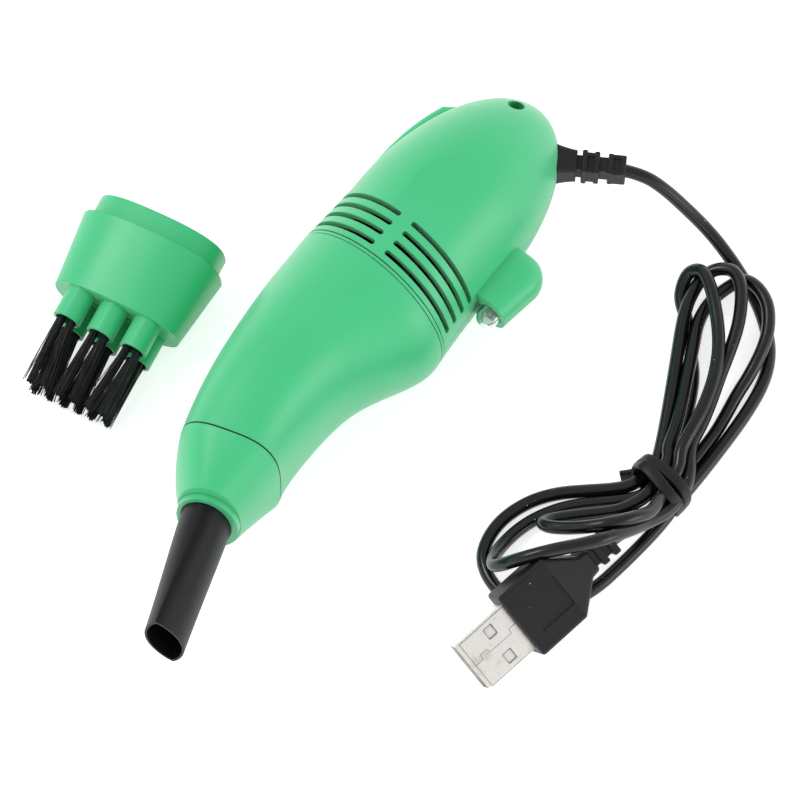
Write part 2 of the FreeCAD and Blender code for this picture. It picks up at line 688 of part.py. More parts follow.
# ---- chamber, cap, crevice tube ----------------------------------------------------------------
CHAMBER = [  # x, y of the centre, half height, half width, roundness, droop
    (RING_X, 0.0, RING_R, RING_R, 2.0, 0.0),
    (RING_X - 5, -0.2, RING_R - 0.25, RING_R - 0.1, 2.0, 0.5),
    (RING_X - 12, 0.9, RING_R - 2.0, RING_R - 0.4, 2.0, 1.5),
    (RING_X - 21, 1.9, RING_R - 4.5, RING_R - 0.8, 2.1, 3.0),
    (RING_X - 30, 1.4, JOINT_H + 2.2, JOINT_W + 1.7, 2.3, 5.0),
    (RING_X - 39, 0.0, JOINT_H + 1.1, JOINT_W + 1.0, 2.5, 8.5),
    (JOINT_X, JOINT_Y, JOINT_H, JOINT_W, JOINT_POWER, JOINT_DROOP),
]


def joint_way():
    a = math.radians(JOINT_DROOP)
    return V(-math.cos(a), -math.sin(a), 0)


def nose_way():
    a = math.radians(NOSE_DROOP)
    return V(-math.cos(a), -math.sin(a), 0)


def joint_section(back, inset):
    """Section of the chamber-to-cap joint, moved back along the joint's axis and inset."""
    at = V(JOINT_X, JOINT_Y, 0) - joint_way() * back
    return section(at.x, at.y, JOINT_H - inset, JOINT_W - inset, JOINT_POWER, JOINT_DROOP)


def build_chamber():
    outer = loft([section(*s) for s in CHAMBER])
    bore = rod(RING_X - BORE_DEPTH, RING_X + 1, CHAMBER_BORE)
    throat = CHAMBER_BORE - BORE_STEP
    start = [section(RING_X - BORE_DEPTH + 0.2, 0, throat, throat)]
    middle = [section(x, y, h - WALL, w - WALL, n, d) for x, y, h, w, n, d in CHAMBER[2:6]]
    hollow = loft(start + middle + [joint_section(PLUG_LEN + 1, WALL - MOUTH_STEP)])
    mouth = loft([joint_section(PLUG_LEN + 2, WALL), joint_section(-1, WALL)])
    return {"dust_chamber": biggest(carve(outer, [hollow, mouth, bore]))}


def nose_section(s, half_h, half_w, power=2.0, shift=0.0):
    at = V(COLLAR_X, COLLAR_Y, 0) + nose_way() * s
    a = math.radians(NOSE_DROOP)
    return section(at.x - shift * math.sin(a), at.y + shift * math.cos(a), half_h, half_w, power, NOSE_DROOP)


def build_cap():
    front = nose_section(-COLLAR_LEN, RIM_H, RIM_W, 2.2, -0.3)
    cone = loft([joint_section(-CAP_GROOVE_W, 0), cap_middle(), front])
    seat = loft([joint_section(back, CAP_GROOVE_DEEP) for back in (0, -CAP_GROOVE_W - 0.3)])
    grow = COLLAR_WALL + FIT
    ring_h, ring_w = TUBE_H + grow + 0.2, TUBE_W + grow + 0.4
    collar = loft([nose_section(s, ring_h, ring_w, 2.0, -0.3) for s in (-COLLAR_LEN - 0.5, 0)])
    plug = loft([joint_section(back, WALL + FIT) for back in (PLUG_LEN, -0.4)])
    body = cone.fuse(seat).fuse(collar).fuse(plug)
    inset = 2 * WALL
    hollow = loft([joint_section(PLUG_LEN + 1, inset), joint_section(-2, inset), nose_section(-TUBE_IN, TUBE_H - 0.9, TUBE_W - 0.9)])
    socket = loft([nose_section(s, TUBE_H + FIT, TUBE_W + FIT) for s in (-TUBE_IN, 1)])
    return {"nozzle_cap": biggest(carve(body, [hollow, socket]))}


def cap_middle():
    """Section half way along the cap."""
    x = (JOINT_X + COLLAR_X) / 2 - 0.4
    y = (JOINT_Y + COLLAR_Y) / 2 + 0.1
    return section(x, y, CAP_MID_H, CAP_MID_W, CAP_MID_POWER, (JOINT_DROOP + NOSE_DROOP) / 2)


def lens_section(s, half_h, half_w, pinch, turn):
    """Tube section: an ellipse at pinch 0.5, a lens with two creases near 1."""
    at = V(COLLAR_X, COLLAR_Y, 0) + nose_way() * s
    a, b = math.radians(NOSE_DROOP), math.radians(turn)
    points = []
    for k in range(32):
        q = 2 * math.pi * k / 32
        c, d = math.cos(q), math.sin(q)
        t = half_h * math.copysign(abs(c) ** (2 * pinch), c)
        w = half_w * d
        t, w = t * math.cos(b) - w * math.sin(b), t * math.sin(b) + w * math.cos(b)
        points.append(V(at.x - t * math.sin(a), at.y + t * math.cos(a), AXIS_Z + w))
    return closed_curve(points)


def build_crevice_tube():
    stations = [(-TUBE_IN, 0.0), (0.0, 0.0), (0.35, 0.3), (0.7, 0.7), (1.0, 1.0)]
    skins = []
    for hollow in (False, True):
        wires = []
        for place, pinch in stations:
            s = place if place < 0 else place * TUBE_OUT
            wall = TUBE_WALL + (TUBE_LIP - TUBE_WALL) * pinch if hollow else 0.0
            over = 0.0
            if hollow and place in (-TUBE_IN, 1.0):
                over = -1.0 if place < 0 else 1.0
            half_h = TUBE_H + (TUBE_MOUTH_H - TUBE_H) * pinch - wall
            half_w = TUBE_W - wall * (1 + 0.5 * pinch)
            wires.append(lens_section(s + over, half_h, half_w, 0.5 + 0.3 * pinch, -TUBE_MOUTH_TURN * pinch))
        skins.append(loft(wires))
    return {"crevice_tube": biggest(skins[0].cut(skins[1]))}


# ---- cable -------------------------------------------------------------------------------------
def build_strain_relief():
    """Moulded relief: inner flange, neck through the wall, flare, and two pairs of ribs tied by side bars."""
    neck, core = RELIEF_NECK, RELIEF_CORE
    inner = block(-3.2, -1.6, -4.0, 4.0, -4.0, 4.0)
    through = block(-2, 1.2, -neck, neck, -neck, neck)
    flare = relief_placed(loft([
        square_wire(-1.0, RELIEF_FLARE + 0.15), square_wire(1.4, (RELIEF_FLARE + RELIEF_RIB) / 2),
        square_wire(RELIEF_COLLAR, RELIEF_RIB),
    ])).cut(housing_form(-FIT / 2))
    shapes = [inner, through, block(0.5, RELIEF_LEN, -core, core, -core, core)]
    for k, x in enumerate(RELIEF_RIBS):
        half = RELIEF_RIB - RELIEF_RIB_STEP * k
        shapes.append(rounded_block(x, x + RELIEF_RIB_W, -half, half, -half, half, 0.35))
    for first, last in (RELIEF_RIBS[:2], RELIEF_RIBS[2:]):
        for side in (-1, 1):
            y = side * (core + 0.25)
            shapes.append(block(first + 0.2, last + 0.5, y - 0.45, y + 0.45, -core - 0.3, core + 0.3))
    bore = Part.makeCylinder(CABLE_D / 2, 30, V(-10, 0, 0), V(1, 0, 0))
    solid = fuse([relief_placed(shape) for shape in shapes] + [flare])
    return {"strain_relief": biggest(solid.cut(relief_placed(bore)))}


def square_wire(x, half):
    """Square with rounded corners in the plane at x."""
    box = block(x, x + 1, -half, half, -half, half)
    box = box.makeFillet(half * 0.35, [e for e in box.Edges if e.BoundBox.XLength > 0.9])
    end = [f for f in box.Faces if f.BoundBox.XMax < x + TINY][0]
    return end.OuterWire


def tangent_arc_path(points):
    """Straight runs joined by arcs, each as large as its two runs allow."""
    edges, radii = [], []
    start = points[0]
    for before, corner, after in zip(points, points[1:], points[2:]):
        into, out = (corner - before), (after - corner)
        half_turn = into.getAngle(out) / 2
        back = 0.45 * min(into.Length, out.Length)
        radii.append(back / math.tan(half_turn))
        into.normalize()
        out.normalize()
        first, last = corner - into * back, corner + out * back
        centre_way = (out - into).normalize()
        reach = radii[-1] / math.cos(half_turn)
        centre = corner + centre_way * reach
        middle = centre - centre_way * radii[-1]
        edges.append(Part.LineSegment(start, first).toShape())
        edges.append(Part.Arc(first, middle, last).toShape())
        start = last
    edges.append(Part.LineSegment(start, points[-1]).toShape())
    return Part.Wire(edges), radii


def lead_route():
    way = relief_axis()
    root = V(RELIEF_ROOT[0], RELIEF_ROOT[1], AXIS_Z)
    first = root + way * RELIEF_LEN
    return [first] + [V(*p) for p in LEAD_POINTS] + [V(*LEAD_END)]


def build_cable_lead():
    route = lead_route()
    path, radii = tangent_arc_path(route)
    profile = Part.Wire([Part.makeCircle(CABLE_D / 2, route[0], route[1] - route[0])])
    solid = path.makePipeShell([profile], True, True)
    print("cable lead length %.1f, arc radii" % path.Length, ["%.1f" % r for r in radii])
    print("volume ratio %.4f" % (solid.Volume / (math.pi * CABLE_D ** 2 / 4 * path.Length)))
    return {"cable_lead": solid}


def tie_band():
    y0, y1 = TIE_Y
    x0, x1 = TIE_X - TIE_W / 2, TIE_X + TIE_W / 2
    outer = block(x0, x1, y0, y1, 0, BUNDLE_H + 2 * TIE_T)
    outer = outer.makeFillet(2.4, [e for e in outer.Edges if e.BoundBox.XLength > TIE_W - TINY])
    inner = block(x0 - 1, x1 + 1, y0 + TIE_T, y1 - TIE_T, TIE_T, BUNDLE_H + TIE_T)
    inner = inner.makeFillet(1.4, [e for e in inner.Edges if e.BoundBox.XLength > TIE_W - TINY])
    return outer, inner


def build_cable_bundle():
    curve = Part.BSplineCurve()
    curve.interpolate([V(x, y, 0) for x, y in BUNDLE_OUTLINE], PeriodicFlag=True)
    face = Part.Face(Part.Wire([curve.toShape()]))
    bundle = face.extrude(V(0, 0, BUNDLE_H))
    outer, inner = tie_band()
    around = block(TIE_X - TIE_W / 2, TIE_X + TIE_W / 2, -90, -50, -1, 20)
    bundle = bundle.cut(around.cut(inner))
    bundle = bundle.cut([plug_placed(mould_solid()), plug_placed(shell_outer())])
    return {"cable_bundle": biggest(bundle), "cable_tie": outer.cut(inner)}


# ---- plug --------------------------------------------------------------------------------------
def plug_placed(shape):
    return placed(shape, PLUG_AXIS, PLUG_UP, PLUG_ROOT)


def shell_outer():
    solid = block(-SHELL_IN, SHELL_OUT, -SHELL_W / 2, SHELL_W / 2, -SHELL_H / 2, SHELL_H / 2)
    return solid.makeFillet(0.5, [e for e in solid.Edges if e.BoundBox.XLength > 1])


def mould_solid():
    """Plug body: flat block with sloped shoulders that run into the ribbed neck."""
    w, h, n = MOULD_W / 2, MOULD_H / 2, NECK_W / 2
    corners = [(0, w), (-MOULD_SHOULDER, w), (-MOULD_WAIST, n + 0.2), (-MOULD_LEN, n)]
    plan = [V(x, y, -h) for x, y in corners] + [V(x, -y, -h) for x, y in reversed(corners)]
    solid = Part.Face(Part.makePolygon(plan + plan[:1])).extrude(V(0, 0, 2 * h))
    heights = [(0, h), (-MOULD_SHOULDER, h), (-MOULD_LEN, NECK_H / 2)]
    side = [V(x, -w, z) for x, z in heights] + [V(x, -w, -z) for x, z in reversed(heights)]
    solid = solid.common(Part.Face(Part.makePolygon(side + side[:1])).extrude(V(0, 2 * w, 0)))
    solid = solid.makeFillet(0.8, solid.Edges)
    end = -MOULD_LEN - NECK_LEN
    neck = [block(end, -MOULD_LEN + 0.6, -1.8, 1.8, -1.8, 1.8)]
    for x in (-MOULD_LEN - 1.2 - NECK_RIB, end):
        neck.append(rounded_block(x, x + NECK_RIB, -n, n, -NECK_H / 2, NECK_H / 2, 0.4))
    return fuse([solid] + neck)


def build_usb_plug():
    shell = shell_outer()
    t = SHELL_T
    inside = block(-SHELL_IN - 1, SHELL_OUT + 1, -SHELL_W / 2 + t, SHELL_W / 2 - t, -SHELL_H / 2 + t, SHELL_H / 2 - t)
    hollow = shell.cut(inside)
    for side in (-1, 1):
        y = side * WINDOW_Y
        window = block(WINDOW_X, WINDOW_X + WINDOW_LEN, y - WINDOW_W / 2, y + WINDOW_W / 2, -5, 5)
        hollow = hollow.cut(window.makeFillet(0.4, [e for e in window.Edges if e.BoundBox.ZLength > 1]))
    mould = mould_solid().cut(shell_outer())
    recess = block(RECESS_X, RECESS_X + RECESS_LEN, -RECESS_W / 2, RECESS_W / 2, MOULD_H / 2 - RECESS_DEEP, MOULD_H)
    mould = mould.cut(recess)
    top = SHELL_H / 2 - t
    tongue = block(-SHELL_IN, SHELL_OUT - 1.0, -5.5, 5.5, top - 1.9, top)
    back = block(-SHELL_IN, -0.5, -5.5, 5.5, -SHELL_H / 2 + t, SHELL_H / 2 - t)
    contacts = []
    for y, length in ((-3.5, 8.4), (-1.0, 7.4), (1.0, 7.4), (3.5, 8.4)):
        contacts.append(block(1.0, 1.0 + length, y - 0.5, y + 0.5, top - 2.02, top - 1.9))
    return {
        "usb_shell": plug_placed(hollow),
        "usb_overmould": plug_placed(biggest(mould)),
        "usb_tongue": plug_placed(fuse([tongue, back])),
        "usb_contacts": Part.makeCompound([plug_placed(c) for c in contacts]),
    }


# ---- brush head --------------------------------------------------------------------------------
def brush_placed(shape):
    """The brush is built with its bristles along local X and its width along local Y."""
    a, b = math.radians(180 + BRUSH_TURN), math.radians(BRUSH_TILT)
    way = V(math.cos(a) * math.cos(b), math.sin(a) * math.cos(b), -math.sin(b))
    return placed(shape, way, V(0, 0, 1), BRUSH_AT)


def brush_section(x, half_h, half_w, power=2.6):
    return closed_curve([V(x, w, t) for t, w in oval_points(half_h, half_w, power)])


def tuft_places():
    return [(row * TUFT_ROWS / 2, col * TUFT_PITCH) for row in (-1, 1) for col in (-1, 0, 1)]


def build_brush():
    end = BRUSH_LEN
    inset = WALL + FIT
    body = loft([brush_section(0, JOINT_H, JOINT_W), brush_section(end, BRUSH_TIP_H, BRUSH_TIP_W)])
    plug = loft([brush_section(-PLUG_LEN, JOINT_H - inset, JOINT_W - inset), brush_section(0.5, JOINT_H - inset, JOINT_W - inset)])
    hollow = loft([
        brush_section(-PLUG_LEN - 1, JOINT_H - 2 * WALL, JOINT_W - 2 * WALL),
        brush_section(end - 6, BRUSH_TIP_H - WALL, BRUSH_TIP_W - WALL),
    ])
    tubes = []
    bores = [block(end - 9, end + 1, -9, 9, -BRUSH_SLOT, BRUSH_SLOT)]
    for z, y in tuft_places():
        tubes.append(Part.makeCylinder(TUFT_TUBE_R, TUFT_TUBE_LEN + 1, V(end - 1, y, z), V(1, 0, 0)))
        bores.append(Part.makeCylinder(TUFT_R + FIT, 30, V(end + TUFT_TUBE_LEN - TUFT_IN, y, z), V(1, 0, 0)))
    brush = carve(fuse([body, plug] + tubes), [hollow] + bores)
    tufts = [brush_placed(tuft(y, z)) for z, y in tuft_places()]
    return {"brush_head": brush_placed(biggest(brush)), "brush_bristles": Part.makeCompound(tufts)}


def tuft(y, z):
    """Bristles set in a tube, spreading a little towards their ends."""
    x0 = BRUSH_LEN + TUFT_TUBE_LEN - TUFT_IN
    x1 = BRUSH_LEN + TUFT_TUBE_LEN
    root = Part.makeCylinder(TUFT_R, TUFT_IN, V(x0, y, z), V(1, 0, 0))
    spread = Part.makeCone(TUFT_R, TUFT_TIP_R, TUFT_OUT, V(x1, y, z), V(1, 0, 0))
    return fuse([root, spread])


# ---- inner wires -------------------------------------------------------------------------------
def wire(points):
    path, _ = tangent_arc_path(points)
    profile = Part.Wire([Part.makeCircle(WIRE_D / 2, points[0], points[1] - points[0])])
    return path.makePipeShell([profile], True, True)


def switch_pin_end(k):
    """End of one switch pin in the part's frame."""
    end = Part.Vertex(SWITCH_TRAVEL / 2 + k * PIN_PITCH, PIN_END - TINY, 0)
    return on_seat(end).Point


def build_inner_wires():
    """Insulated wires: cable to motor, cable to switch, switch to motor."""
    relief = V(RELIEF_ROOT[0], RELIEF_ROOT[1], AXIS_Z) - relief_axis() * (3.2 + TINY)
    tab_x = MOTOR_FRONT + MOTOR_LEN + END_CAP_LEN + 3 + TINY
    low_tab, high_tab = V(tab_x, -6.0, AXIS_Z), V(tab_x, 6.0, AXIS_Z)
    side = V(0, 0, WIRE_D)
    to_motor = [relief + side, relief + V(-2.4, 1.6, 1.2), low_tab + V(2.2, 0.4, 0.4), low_tab]
    beside = V(0, 0.4, 0.5 + WIRE_D / 2 + 0.05)
    low = V(0, 0, -2 * beside.z)
    pin = switch_pin_end(1) + beside + low
    to_switch = [
        relief - side, relief + V(-1.6, 2.6, -2.0), relief + V(-2.4, 7.0, -2.8),
        relief + V(-3.6, 11.6, -2.6), pin + V(2.0, -1.4, -1.0), pin,
    ]
    middle = switch_pin_end(0) + beside
    across = [high_tab + V(0, 0, 0.7), high_tab + V(1.0, 1.6, 1.9), high_tab + V(-0.4, 4.2, 3.2), middle]
    return {"inner_wires": Part.makeCompound([wire(p) for p in (to_motor, to_switch, across)])}


# ---- all nodes ---------------------------------------------------------------------------------
BUILDERS = [
    build_housing, build_housing_screw, build_fan_cover, build_filter, build_fan, build_motor,
    build_rotor, build_bulkhead, build_switch, build_led, build_chamber, build_cap,
    build_crevice_tube, build_strain_relief, build_cable_lead, build_cable_bundle, build_usb_plug,
    build_brush, build_inner_wires,
]


def main():
    os.makedirs("parts", exist_ok=True)
    for builder in BUILDERS:
        for name, shape in builder().items():
            state = "ok" if shape.isValid() else "INVALID"
            print("%-18s %-8s solids %d volume %.1f" % (name, state, len(shape.Solids), shape.Volume))
            shape.exportStep("parts/%s.step" % name)


main()
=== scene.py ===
"""Looks of a desktop mini vacuum cleaner, built round its packed construction frame.

Places are written in millimetres and brought to metres by MM: X along the motor axis from the
nozzle (-X) to the cable (+X), Y towards the switch, Z up from the table.
"""

import math
import random

import bpy
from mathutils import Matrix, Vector


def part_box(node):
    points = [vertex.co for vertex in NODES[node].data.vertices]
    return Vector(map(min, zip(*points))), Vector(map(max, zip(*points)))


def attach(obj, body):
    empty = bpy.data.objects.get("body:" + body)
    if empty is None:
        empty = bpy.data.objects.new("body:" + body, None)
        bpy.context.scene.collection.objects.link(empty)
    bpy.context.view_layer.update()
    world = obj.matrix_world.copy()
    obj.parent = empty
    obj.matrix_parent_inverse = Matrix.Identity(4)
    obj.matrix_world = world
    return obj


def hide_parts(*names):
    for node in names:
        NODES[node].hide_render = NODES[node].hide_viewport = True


MM = 0.001
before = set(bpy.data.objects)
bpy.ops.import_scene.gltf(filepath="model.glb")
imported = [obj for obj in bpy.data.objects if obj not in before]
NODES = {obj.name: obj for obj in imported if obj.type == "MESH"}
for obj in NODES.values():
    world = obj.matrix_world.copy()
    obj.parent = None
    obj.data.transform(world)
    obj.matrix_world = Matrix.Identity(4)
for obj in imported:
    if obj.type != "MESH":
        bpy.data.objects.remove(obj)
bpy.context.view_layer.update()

# ---- camera, floor and light -------------------------------------------------------------------
LOOK_AT = (-33.05, -13.09, 0.0)
LOOK_FROM = (-0.3525, -0.2958, 0.8878)    # direction from the target to the camera
CAMERA_AWAY = 1213.3
LENS = 256.0
SENSOR = 36.0
VIEW_END = 20.0                           # metres
FLOOR_SIDE = 3.0
FLOOR_TONE = 0.80
FLOOR_LIFT = 0.68                         # plain light added to the floor for the camera's eye
SKY_LOW = 1.55                            # level of the surroundings at the horizon and overhead
SKY_HIGH = 0.60
SKY_TURN = 0.7                            # height at which the overhead level is reached
SOFTBOXES = (                             # name, place and side in metres, power in watts
    ("key softbox", (-0.20, 0.40, 0.75), 0.26, 1.7),
    ("low side softbox", (0.25, -0.75, 0.22), 0.40, 0.9),
)

# ---- colours, 0 to 255 -------------------------------------------------------------------------
GREEN = (62, 200, 132)
GREEN_DRIFT = (66, 203, 136)
# lighter colour of rubbed edges, partly wear and partly painted highlight
GREEN_WEAR_AND_HIGHLIGHT = (110, 216, 160)
GREEN_SHADE = (0, 84, 42)                 # down in the slots and grooves
BLACK_RUBBER = (17, 17, 20)
BLACK_TUBE = (17, 17, 18)
BLACK_CORD = (10, 10, 12)
BLACK_BRISTLE = (12, 12, 13)
DUST = (190, 190, 185)
EPOXY = (0.42, 0.62, 0.53, 1)             # these three are linear, 0 to 1
EPOXY_DRIFT = (0.56, 0.74, 0.65, 1)
# painted shade at the lens's rim
EPOXY_PAINTED_RIM_SHADE = (0.05, 0.10, 0.08, 1)
RESISTOR_RINGS = (                        # place along X in millimetres, colour
    (-4.4, (120, 62, 20)), (-3.7, (24, 24, 24)), (-3.0, (190, 40, 30)), (-2.0, (180, 140, 40)),
)
RESISTOR_RING_HALF = 0.22

# ---- skins -------------------------------------------------------------------------------------
WEAR_AND_HIGHLIGHT_SHARE = 0.6                          # how much of the worn colour, partly painted highlight, a rubbed edge takes
SCUFF_POLISH = -0.04                      # change of roughness in a scratch
ROUGH_PATCHES = 0.05                      # change of roughness from patch to patch
CREVICE_START = 0.62                      # open share at which shade begins, and at which it is full
CREVICE_FULL = 0.22
SCUFF_WAYS = ((0.5, 22.0), (1.9, 16.0))   # turn in radians and stretch of the crossing scratches

# ---- cable -------------------------------------------------------------------------------------
CABLE_D = 2.9

# strands of the one cable, in the order in which it runs through the tie
FROM_HOUSING = [
    (31.9, -20.4, 20.0), (34.2, -24.4, 19.4), (36.0, -29.0, 16.2), (37.5, -34.4, 11.2), (38.3, -40.2, 6.9),
    (37.8, -45.9, 3.7), (36.3, -51.4, 1.8), (34.0, -56.8, 1.5), (30.6, -62.0, 1.5), (26.0, -67.0, 1.5),
    (19.6, -70.4, 1.5), (10.8, -72.2, 1.5), (0.8, -73.2, 1.7), (-8.0, -74.0, 2.4),
]
LOWER_WIDE = [
    (-15.0, -74.3, 2.6), (-21.0, -74.8, 2.2), (-27.0, -74.6, 1.6), (-34.0, -74.2, 1.5), (-41.0, -73.6, 1.5),
    (-47.6, -71.4, 1.5), (-52.8, -67.0, 1.5), (-55.2, -61.4, 1.5), (-54.4, -56.0, 1.5), (-52.4, -52.1, 1.5),
    (-49.4, -49.6, 1.5), (-44.3, -48.3, 1.5), (-39.2, -48.6, 1.5), (-33.7, -50.4, 1.5), (-28.9, -53.6, 1.5),
    (-24.5, -58.3, 1.8), (-21.3, -62.0, 2.3), (-18.6, -64.3, 2.6),
]
UPPER_MIDDLE = [
    (-14.8, -65.2, 2.6), (-11.5, -65.7, 2.6), (-6.0, -63.0, 3.0), (-0.1, -59.7, 3.6), (6.6, -55.8, 4.2),
    (12.5, -52.3, 4.2), (17.7, -49.2, 4.5), (22.0, -47.1, 4.9), (25.5, -46.0, 4.7), (29.2, -45.4, 4.9),
    (32.3, -46.5, 6.1), (34.1, -50.1, 7.6), (32.0, -53.9, 8.1), (28.0, -57.0, 7.8), (23.7, -59.5, 7.2),
    (18.4, -61.5, 6.2), (13.8, -63.0, 5.4), (9.8, -64.5, 4.8), (5.7, -66.0, 4.5), (1.4, -67.4, 4.4),
    (-4.0, -68.6, 4.6), (-10.0, -73.5, 5.3),
]
LOWER_OVER_PLUG = [
    (-15.2, -74.9, 5.7), (-19.6, -75.2, 6.2), (-24.9, -74.1, 8.0), (-31.0, -73.5, 12.8),
    (-37.0, -72.0, 16.5), (-41.3, -69.4, 17.0), (-46.3, -65.3, 16.8), (-51.2, -61.1, 15.0),
    (-53.7, -57.7, 11.2), (-53.5, -55.3, 7.6), (-50.3, -53.3, 4.6), (-45.8, -52.4, 2.6),
    (-40.5, -52.6, 1.8), (-35.6, -54.0, 1.5), (-30.7, -56.7, 1.5), (-26.7, -60.1, 1.5), (-23.4, -63.7, 1.9),
    (-19.2, -67.8, 2.5),
]
UPPER_INNER = [
    (-14.9, -68.2, 2.6), (-9.4, -67.9, 1.9), (-7.7, -66.9, 1.5), (-0.2, -64.0, 1.5), (6.8, -60.6, 1.5),
    (12.0, -57.2, 1.5), (16.6, -52.1, 1.5), (20.6, -48.7, 1.6), (23.0, -44.5, 2.4), (25.7, -42.9, 4.0),
    (28.4, -42.6, 6.0), (29.7, -45.0, 7.8), (27.5, -48.9, 8.6), (24.3, -52.7, 8.6), (20.7, -56.5, 8.4),
    (16.8, -59.8, 8.2), (12.6, -62.4, 8.1), (8.4, -64.4, 8.0), (2.9, -66.3, 7.9), (-2.3, -67.4, 7.7),
    (-7.1, -68.4, 7.2), (-10.0, -70.6, 6.5),
]
LOWER_SHORT = [
    (-15.0, -71.9, 5.8), (-18.2, -72.1, 7.4), (-23.4, -74.0, 10.6), (-27.9, -73.0, 13.8),
    (-32.6, -70.6, 15.2), (-35.9, -67.1, 13.8), (-38.1, -62.8, 11.0), (-39.8, -59.3, 9.6),
    (-39.3, -56.9, 7.6), (-36.4, -57.5, 5.8), (-32.3, -60.8, 5.4), (-28.5, -64.3, 5.2), (-25.1, -67.4, 5.4),
    (-19.4, -69.4, 5.6),
]
UPPER_OUTER = [
    (-14.8, -68.9, 5.5), (-9.4, -67.5, 5.5), (-7.7, -65.6, 5.2), (-1.8, -63.4, 4.8), (3.6, -60.6, 4.5),
    (9.4, -57.4, 4.4), (15.0, -54.4, 4.3), (20.0, -51.5, 4.1), (24.7, -50.1, 3.7), (28.9, -50.1, 3.5),
    (33.2, -51.2, 3.9), (35.2, -53.0, 4.9), (34.7, -56.8, 6.0), (32.7, -60.8, 6.2), (28.9, -64.0, 5.6),
    (25.3, -65.7, 4.9), (21.4, -66.8, 4.2), (17.5, -67.5, 3.2), (13.0, -68.0, 2.2), (8.3, -69.0, 1.6),
    (3.5, -70.0, 1.6), (-1.6, -70.5, 1.9), (-8.6, -71.2, 2.2),
]
INTO_PLUG = [
    (-15.0, -71.3, 2.6), (-19.2, -71.5, 2.7), (-22.6, -71.8, 3.6), (-25.6, -72.0, 5.4), (-28.4, -72.2, 8.0),
    (-31.2, -72.1, 10.4), (-34.0, -71.8, 11.5), (-36.4, -71.4, 11.4),
]
HANK_TURNS = [LOWER_WIDE, UPPER_MIDDLE, LOWER_OVER_PLUG, UPPER_INNER, LOWER_SHORT, UPPER_OUTER]

# ---- tie round the hank ------------------------------------------------------------------------
TIE_WIDTH = 2.5
TIE_THICK = 1.0
TIE_CENTRE = (-15.0, -69.6, 4.4)
TIE_LENGTHWISE = 0.3                      # weight of X when the strap's face is turned away from the centre
TIE_FIRST_TURN = [
    (-13.9, -63.0, 5.2), (-13.4, -64.6, 7.9), (-13.3, -68.6, 8.5), (-13.6, -72.6, 8.3), (-14.2, -75.6, 6.8),
    (-14.8, -76.3, 4.0), (-15.2, -75.4, 1.3), (-15.6, -72.0, 0.5), (-15.6, -66.5, 0.5), (-15.0, -63.4, 1.6),
    (-14.4, -62.7, 3.2),
]
TIE_SECOND_TURN = [
    (-14.6, -63.1, 5.4), (-15.2, -65.0, 8.4), (-16.0, -68.8, 9.0), (-16.9, -72.4, 8.8), (-17.0, -75.4, 6.8),
    (-16.6, -76.2, 3.8), (-16.0, -75.4, 1.3), (-14.4, -72.0, 0.5), (-13.4, -66.5, 0.5), (-13.4, -63.6, 1.6),
    (-14.0, -62.6, 3.2),
]
TIE_STUB = [(-14.6, -63.8, 2.0), (-15.6, -62.6, 1.6), (-16.6, -61.6, 1.3), (-17.4, -60.8, 1.1)]

# ---- plug: x along its shell from the overmould, y across, z out of the seamed face -------------
PLUG_ROOT = Vector((-61.3, -68.0, 8.05))
PLUG_AXIS = Vector((-0.983, 0.135, -0.131))
PLUG_UP = Vector((-0.182, -0.545, 0.817))
SHELL_TOP = 2.25                          # half of the shell's height
# thickness of the drawn seam and of the painted shade lines
SEAM_AND_SHADE_LINE_D = 0.14
SEAM_AND_SHADE_LINE_SUNK = 0.03                          # how far the middle of the drawn lines lies under the face
SHELL_SEAM = [                            # the dovetailed joint, from the mouth to the overmould
    (12.1, 0.1), (10.1, 0.1), (10.0, -1.0), (8.15, -1.0), (8.1, -0.1), (2.0, -0.1), (1.95, -1.1), (0.1, -1.1),
]
# painted shade lines along the shell's folds and across its mouth
SHELL_FOLD_SHADE_LINES = [
    [(0.1, 5.7), (12.1, 5.7)],
    [(0.1, -5.7), (12.1, -5.7)],
    [(12.1, 5.7), (12.1, -5.7)],
]
WINDOW_X = 4.2                            # latch windows: where they start, their length,
WINDOW_LEN = 2.2                          # their middle off the shell's own, and their width
WINDOW_Y = 3.35
WINDOW_W = 2.5

# ---- lamp --------------------------------------------------------------------------------------
LAMP_RIM = 0.15                           # step of the flange at the back, and its length
LAMP_RIM_LEN = 1.0
LAMP_DOME_RINGS = 12                      # mesh rings of the dome
LEAD_POSTS = (                            # name, height off the axis, width of the head, reach
    ("lamp_post", -0.7, 0.3, 1.5),
    ("lamp_anvil", 0.5, 0.8, 1.8),
)
LEAD_SUNK = 0.3                           # how far the posts start inside the lens
LEAD_HALF = 0.25                          # half of a post's thickness, and of its width under the head
LEAD_EDGE = 0.06                          # bevel of the stamped edges

# ---- brush -------------------------------------------------------------------------------------
BRUSH_AT = Vector((-43.8, 47.0, 11.22))
BRUSH_TURN = 12.9                         # degrees off -X, and nose down
BRUSH_TILT = 7.0
TUFT_MOUTH = 23.5                         # from the brush's place to the mouths of its tubes
TUFT_PITCH = 8.0                          # from tube to tube, and from row to row
TUFT_ROWS = 7.4
TUFT_OUT = 15.4                           # length of the bristles outside and inside the tube
TUFT_IN = 2.6
TUFT_CLOSING = 1.1                        # how far the outer tufts lean towards the middle one
ROW_CLOSING = 1.8                         # how far the upper row leans towards the lower one
CLUMP_OFF = 1.15                          # the two clumps of a tuft: off its middle, half sizes, fanning
CLUMP_HALF_Y = 0.8
CLUMP_HALF_Z = 1.6
CLUMP_FAN = 0.7
BRISTLE_D = 0.2
BRISTLES = 150                            # in each tuft
BRISTLE_STEPS = 5
BRISTLE_SEED = 7
LEAN_CURVE = 1.4                          # above 1, a bristle leans more towards its tip
LEAN_SPREAD_Y = 0.36                      # scatter of the lean, the bow and the cut ends
LEAN_SPREAD_Z = 0.35
BOW_SPREAD = 0.1
TRIM_SPREAD = 0.3
STRAY_SHARE = 0.03                        # bristles that stand off from the rest, and how far
STRAY_SPREAD = 0.8


